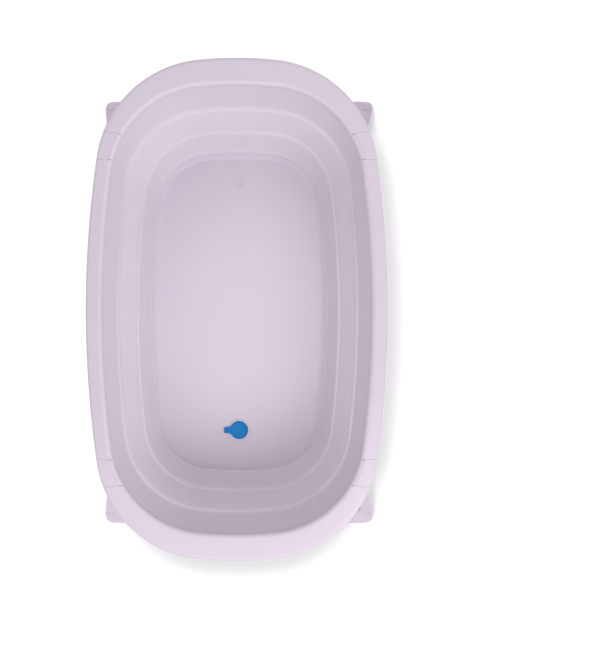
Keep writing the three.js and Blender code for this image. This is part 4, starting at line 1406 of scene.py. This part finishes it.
FLOOR_HALF = 40000
FLOOR_DEPTH = 100
SKY_STRENGTH = 0.67
floor_corners = box_corners((-FLOOR_HALF, -FLOOR_HALF), (FLOOR_HALF, FLOOR_HALF), 0)
floor_faces = [(0, 1, 2, 3), (1, 0, 4), (2, 1, 4), (3, 2, 4), (0, 3, 4)]
floor = make_piece("floor", [*floor_corners, (0, 0, -FLOOR_DEPTH)], floor_faces)
floor.data.shade_flat()
floor_surface = Surface("floor_paper", Roughness=0.9, Base_Color=(0.8, 0.8, 0.8, 1))
floor.data.materials.append(floor_surface.material)
floor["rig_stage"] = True

world = bpy.data.worlds.new("studio")
scene.world = world
world.use_nodes = True
sky = world.node_tree.nodes["Background"].inputs
sky["Color"].default_value = (1, 1, 1, 1)
sky["Strength"].default_value = SKY_STRENGTH

group_names = ("tub_lit", "inside_lit", "floor_lit")
tub_group, inside_group, floor_group = map(bpy.data.collections.new, group_names)
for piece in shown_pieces():
    tub_group.objects.link(piece)
    if piece in (wall, pan, seat, plug):
        inside_group.objects.link(piece)
floor_group.objects.link(floor)

LIGHT_TARGET = (0, 0, 0.15)
LIGHT_DISTANCE = 3


def lamp(kind, name, azimuth, elevation, power, group, target=LIGHT_TARGET, **settings):
    """A lamp aimed from a direction in degrees, which lights only the objects of one group."""
    data = bpy.data.lights.new(name, kind)
    data.energy = power
    for setting, value in settings.items():
        setattr(data, setting, value)
    turn = math.radians(azimuth)
    rise = math.radians(elevation)
    away = Vector((math.cos(rise) * math.cos(turn), math.cos(rise) * math.sin(turn), math.sin(rise)))
    light = placed(name, data)
    light.location = Vector(target) + away * LIGHT_DISTANCE
    light.rotation_euler = (-away).to_track_quat("-Z", "Y").to_euler()
    light.light_linking.receiver_collection = group


disk = {"shape": "DISK", "size": 1.3}
lamp("AREA", "key_foot", 270, 45, 15, tub_group, **disk)
lamp("AREA", "key_right", 315, 45, 21, tub_group, **disk)
lamp("AREA", "fill_right", 0, 25, 7, tub_group, **disk)
lamp("AREA", "fill_left", 180, 45, 2.4, tub_group, **disk)
cone = {"spot_size": math.radians(12), "spot_blend": 1, "shadow_soft_size": 0.1}
lamp("SPOT", "pool", 300, 78, 74, inside_group, (0.045, -0.02, 0.05), **cone)
lamp("SUN", "wash_left", 180, 78.3, 1.22, floor_group, angle=math.radians(8.5))
lamp("SUN", "wash_head", 90, 73.5, 1.22, floor_group, angle=math.radians(8.5))

CAMERA_PLACE = (0.0448, -0.0414, 2.130)
FOCAL_LENGTH = 64.41
PHOTO_HEIGHT = 671  # pixels, the photo's longer side
PHOTO_SHIFT = 32.1  # pixels from the middle of the photo to the camera's axis
lens = bpy.data.cameras.new("camera")
lens.sensor_width = 36
lens.lens = FOCAL_LENGTH
lens.shift_x = PHOTO_SHIFT / PHOTO_HEIGHT
lens.clip_start = 0.1
scene.camera = placed("camera", lens)
scene.camera.location = CAMERA_PLACE
scene.view_settings.view_transform = "Standard"
